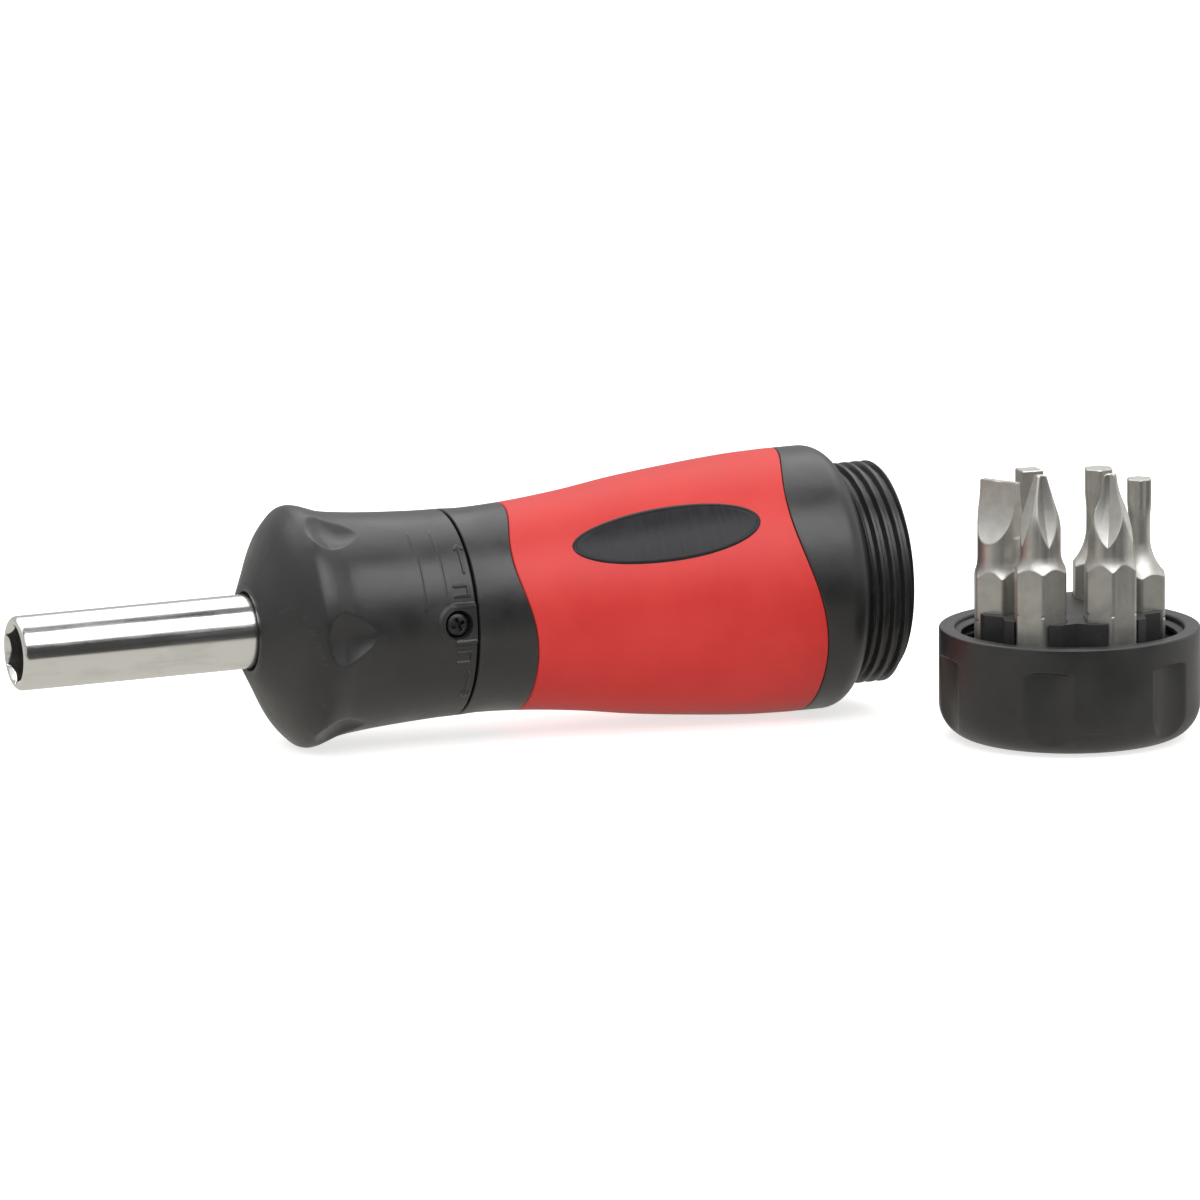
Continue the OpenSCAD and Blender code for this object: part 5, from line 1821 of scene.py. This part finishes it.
@dataclass
class Studio:
    """Camera, pale floor, two soft boxes, and panels that only mirror-like surfaces see, in metres."""

    eye: tuple[float, float, float] = (-0.674799, -1.879623, 0.401826)
    target: tuple[float, float, float] = (0.005664, 0.017681, 0.01534)
    lens: float = 480.0
    sensor: float = 36.0
    clip: Span = (0.01, 20.0)
    roll: float = -0.32
    floor_colour: Colour = (0.86, 0.86, 0.855)
    floor_glow: Colour = (1.0, 0.995, 0.985)
    floor_glow_share: float = 0.7
    floor_half: float = 4.0
    floor_z: float = -0.0002
    box_width: float = 2.0
    wall_half: float = 2.0
    front_y: float = -1.2
    middle_y: float = -0.07
    rear_y: float = 1.25
    strip_z: float = 0.0001
    left_x: float = -1.6
    left_height: float = 0.9
    glow_half: float = 1.0
    glow_low: Span = (-1.0, 0.7)
    glow_high: Span = (-0.42, 1.2)
    top_span: Span = (-0.44, 0.1)
    top_z: float = 1.25
    fill_light: float = 0.5

    def build(self) -> None:
        """Sets up the whole studio."""
        self.camera()
        self.floor()
        self.lamp("front_box", (0.0, -0.714, 0.965), depth=0.73, power=8.0)
        self.lamp("rear_box", (0.0, 0.609, 1.034), depth=1.17, power=8.8)
        self.across("front_glow", self.glow_low, self.glow_high, (2.9, 2.95, 3.02), self.glow_half)
        self.wall("front_panel", self.front_y, height=0.89, colour=(0.045, 0.045, 0.045))
        self.wall("rear_panel", self.rear_y, height=0.83, colour=(0.5, 0.5, 0.5))
        self.left_wall("left_panel", (0.5, 0.5, 0.5))
        self.shelf("front_strip", self.front_y, self.middle_y, self.strip_z, (0.06, 0.06, 0.06))
        self.shelf("rear_strip", self.middle_y, self.rear_y, self.strip_z, (0.62, 0.605, 0.56))
        self.shelf("top_strip", *self.top_span, self.top_z, (0.1, 0.1, 0.1))
        self.world()

    def camera(self) -> None:
        """Puts the camera where the photograph was taken from."""
        lens = bpy.data.cameras.new("camera")
        lens.lens, lens.sensor_width, lens.sensor_fit = self.lens, self.sensor, "HORIZONTAL"
        lens.clip_start, lens.clip_end = self.clip
        camera = bpy.data.objects.new("camera", lens)
        camera.location = self.eye
        aim = (Vector(self.target) - Vector(self.eye)).to_track_quat("-Z", "Y")
        camera.rotation_euler = (aim @ Quaternion((0.0, 0.0, 1.0), math.radians(self.roll))).to_euler()
        bpy.context.scene.collection.objects.link(camera)
        bpy.context.scene.camera = camera

    def plane(self, name: str, corners: tuple) -> bpy.types.Object:
        """Flat stage piece.

        Args:
            name: Name of the piece.
            corners: Its four corners in order.

        Returns:
            The new object.
        """
        mesh = bpy.data.meshes.new(name)
        mesh.from_pydata(list(corners), [], [(0, 1, 2, 3)])
        piece = bpy.data.objects.new(name, mesh)
        bpy.context.scene.collection.objects.link(piece)
        return piece

    def seen(self, sheet: NodeSheet) -> bpy.types.NodeSocket:
        """1 for rays from the camera, a mirror or glass, and 0 for light that a surface scatters.

        Args:
            sheet: Nodes of the material that asks.

        Returns:
            The socket with that value.
        """
        path = sheet.add("ShaderNodeLightPath").outputs
        pair = sheet.math("MAXIMUM", path["Is Camera Ray"], path["Is Glossy Ray"])
        return sheet.math("MAXIMUM", pair, path["Is Transmission Ray"])

    def floor(self) -> None:
        """Pale matt floor, part of whose white comes from its own glow so that shadows stay soft."""
        half, z = self.floor_half, self.floor_z
        floor = self.plane("floor", ((-half, -half, z), (half, -half, z), (half, half, z), (-half, half, z)))
        sheet = NodeSheet("floor_pale")
        glow = sheet.math("MULTIPLY", self.seen(sheet), self.floor_glow_share)
        finish = sheet.surface(Base_Color=self.floor_colour, Roughness=0.9, Specular_IOR_Level=0.0,
                               Emission_Color=self.floor_glow, Emission_Strength=glow)
        floor.data.materials.append(finish)

    def lamp(self, name: str, place: tuple[float, float, float], depth: float, power: float) -> None:
        """Soft box that faces the object.

        Args:
            name: Name of the lamp.
            place: Its middle.
            depth: Its size in the upright direction.
            power: Its power in watts.
        """
        light = bpy.data.lights.new(name, "AREA")
        light.shape, light.size, light.size_y, light.energy = "RECTANGLE", self.box_width, depth, power
        lamp = bpy.data.objects.new(name, light)
        lamp.location = place
        lamp.rotation_euler = (-Vector(place)).to_track_quat("-Z", "Y").to_euler()
        lamp.visible_camera = False
        bpy.context.scene.collection.objects.link(lamp)

    def across(self, name: str, first: Span, last: Span, colour: Colour, half: float) -> None:
        """Panel across the studio between two level lines, each given by its y and z."""
        (y0, z0), (y1, z1) = first, last
        self.card(name, ((-half, y0, z0), (half, y0, z0), (half, y1, z1), (-half, y1, z1)), colour)

    def wall(self, name: str, y: float, height: float, colour: Colour) -> None:
        """Upright panel across the whole studio at one y."""
        self.across(name, (y, 0.0), (y, height), colour, self.wall_half)

    def shelf(self, name: str, front: float, back: float, z: float, colour: Colour) -> None:
        """Level panel across the whole studio at one height."""
        self.across(name, (front, z), (back, z), colour, self.wall_half)

    def left_wall(self, name: str, colour: Colour) -> None:
        """Upright panel at the studio's left end."""
        x, front, rear, top = self.left_x, self.front_y, self.rear_y, self.left_height
        self.card(name, ((x, front, 0.0), (x, rear, 0.0), (x, rear, top), (x, front, top)), colour)

    def card(self, name: str, corners: tuple, colour: Colour) -> None:
        """Panel of an even glow that only reflections see.

        Args:
            name: Name of the panel.
            corners: Its four corners in order.
            colour: Its glow.
        """
        card = self.plane(name, corners)
        sheet = NodeSheet(name + "_even")
        finish = sheet.surface(Base_Color=(0.0, 0.0, 0.0), Specular_IOR_Level=0.0, Roughness=1.0,
                               Emission_Color=colour, Emission_Strength=1.0)
        card.data.materials.append(finish)
        card.visible_camera = card.visible_diffuse = card.visible_shadow = False
        card.visible_transmission = card.visible_volume_scatter = False

    def world(self) -> None:
        """White surroundings where they are seen, and a fainter even light where they only light."""
        world = bpy.data.worlds.new("surroundings")
        world.use_nodes = True
        bpy.context.scene.world = world
        nodes, links = world.node_tree.nodes, world.node_tree.links
        path = nodes.new("ShaderNodeLightPath")
        back = nodes["Background"]
        back.inputs["Color"].default_value = (1.0, 1.0, 1.0, 1.0)
        total = path.outputs["Is Camera Ray"]
        for name in ("Is Glossy Ray", "Is Transmission Ray"):
            pair = nodes.new("ShaderNodeMath")
            pair.operation = "MAXIMUM"
            links.new(total, pair.inputs[0])
            links.new(path.outputs[name], pair.inputs[1])
            total = pair.outputs[0]
        level = nodes.new("ShaderNodeMapRange")
        level.inputs["To Min"].default_value, level.inputs["To Max"].default_value = self.fill_light, 1.0
        links.new(total, level.inputs[0])
        links.new(level.outputs[0], back.inputs["Strength"])
        bpy.context.scene.view_settings.view_transform = "Standard"


def main() -> None:
    """Loads the frame, builds and dresses every piece in order, and logs each piece's face count and finish.
    """
    logging.basicConfig(level=logging.INFO, format="%(message)s")
    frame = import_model()
    lie, stand = Lie.from_record(frame["record"]), Stand.from_record(frame["record"])
    Studio().build()
    plastic = BlackPlastic("black_plastic_handle").make()
    scuffed = BlackPlastic("black_plastic_cap", roughness=0.38, scratches=0.7).make()
    matt = BlackPlastic("black_plastic_holder", colour=(0.018, 0.018, 0.019), roughness=0.46).make()
    steel = WorkedSteel("bit_steel_satin", (0.6, 0.585, 0.545), (0.48, 0.47, 0.435), roughness=0.4).make()
    form, badge, thread, holder = HandleForm(), BadgeForm(), Thread(), BitHolder()
    DriveShaft().dress(lie)
    SelectorCollar().dress(lie, plastic)
    CollarScrew().dress(lie)
    HandleCore(form, thread).dress(lie, plastic)
    SoftGrip(form, badge).dress(lie)
    Badge(form, badge).dress(lie)
    Cap(thread).dress(stand, scuffed)
    holder.dress(stand, matt)
    bits = (
        DriverBit("small_star_bit", Tip.STAR, cell=0, neck_radius=1.386, tip_radius=1.65),
        DriverBit("large_star_bit", Tip.STAR, cell=1, neck_radius=1.596, tip_radius=1.9),
        DriverBit("square_bit", Tip.SQUARE, cell=2, neck_radius=2.07, tip_radius=1.4),
        DriverBit("wide_slotted_bit", Tip.BLADE, cell=3, neck_radius=2.9, tip_radius=2.75, tip_turn=-70.0),
        DriverBit("small_cross_bit", Tip.CROSS, cell=4, neck_radius=2.6, tip_radius=0.75, tip_turn=-25.0,
                  groove_wall=58.0),
        DriverBit("large_cross_bit", Tip.CROSS, cell=5, neck_radius=2.9, tip_radius=0.95, tip_turn=-28.0),
    )
    for bit in bits:
        bit.dress(stand, holder, steel)
    InnerWorks().dress(frame["nodes"])


if __name__ == "__main__":
    main()
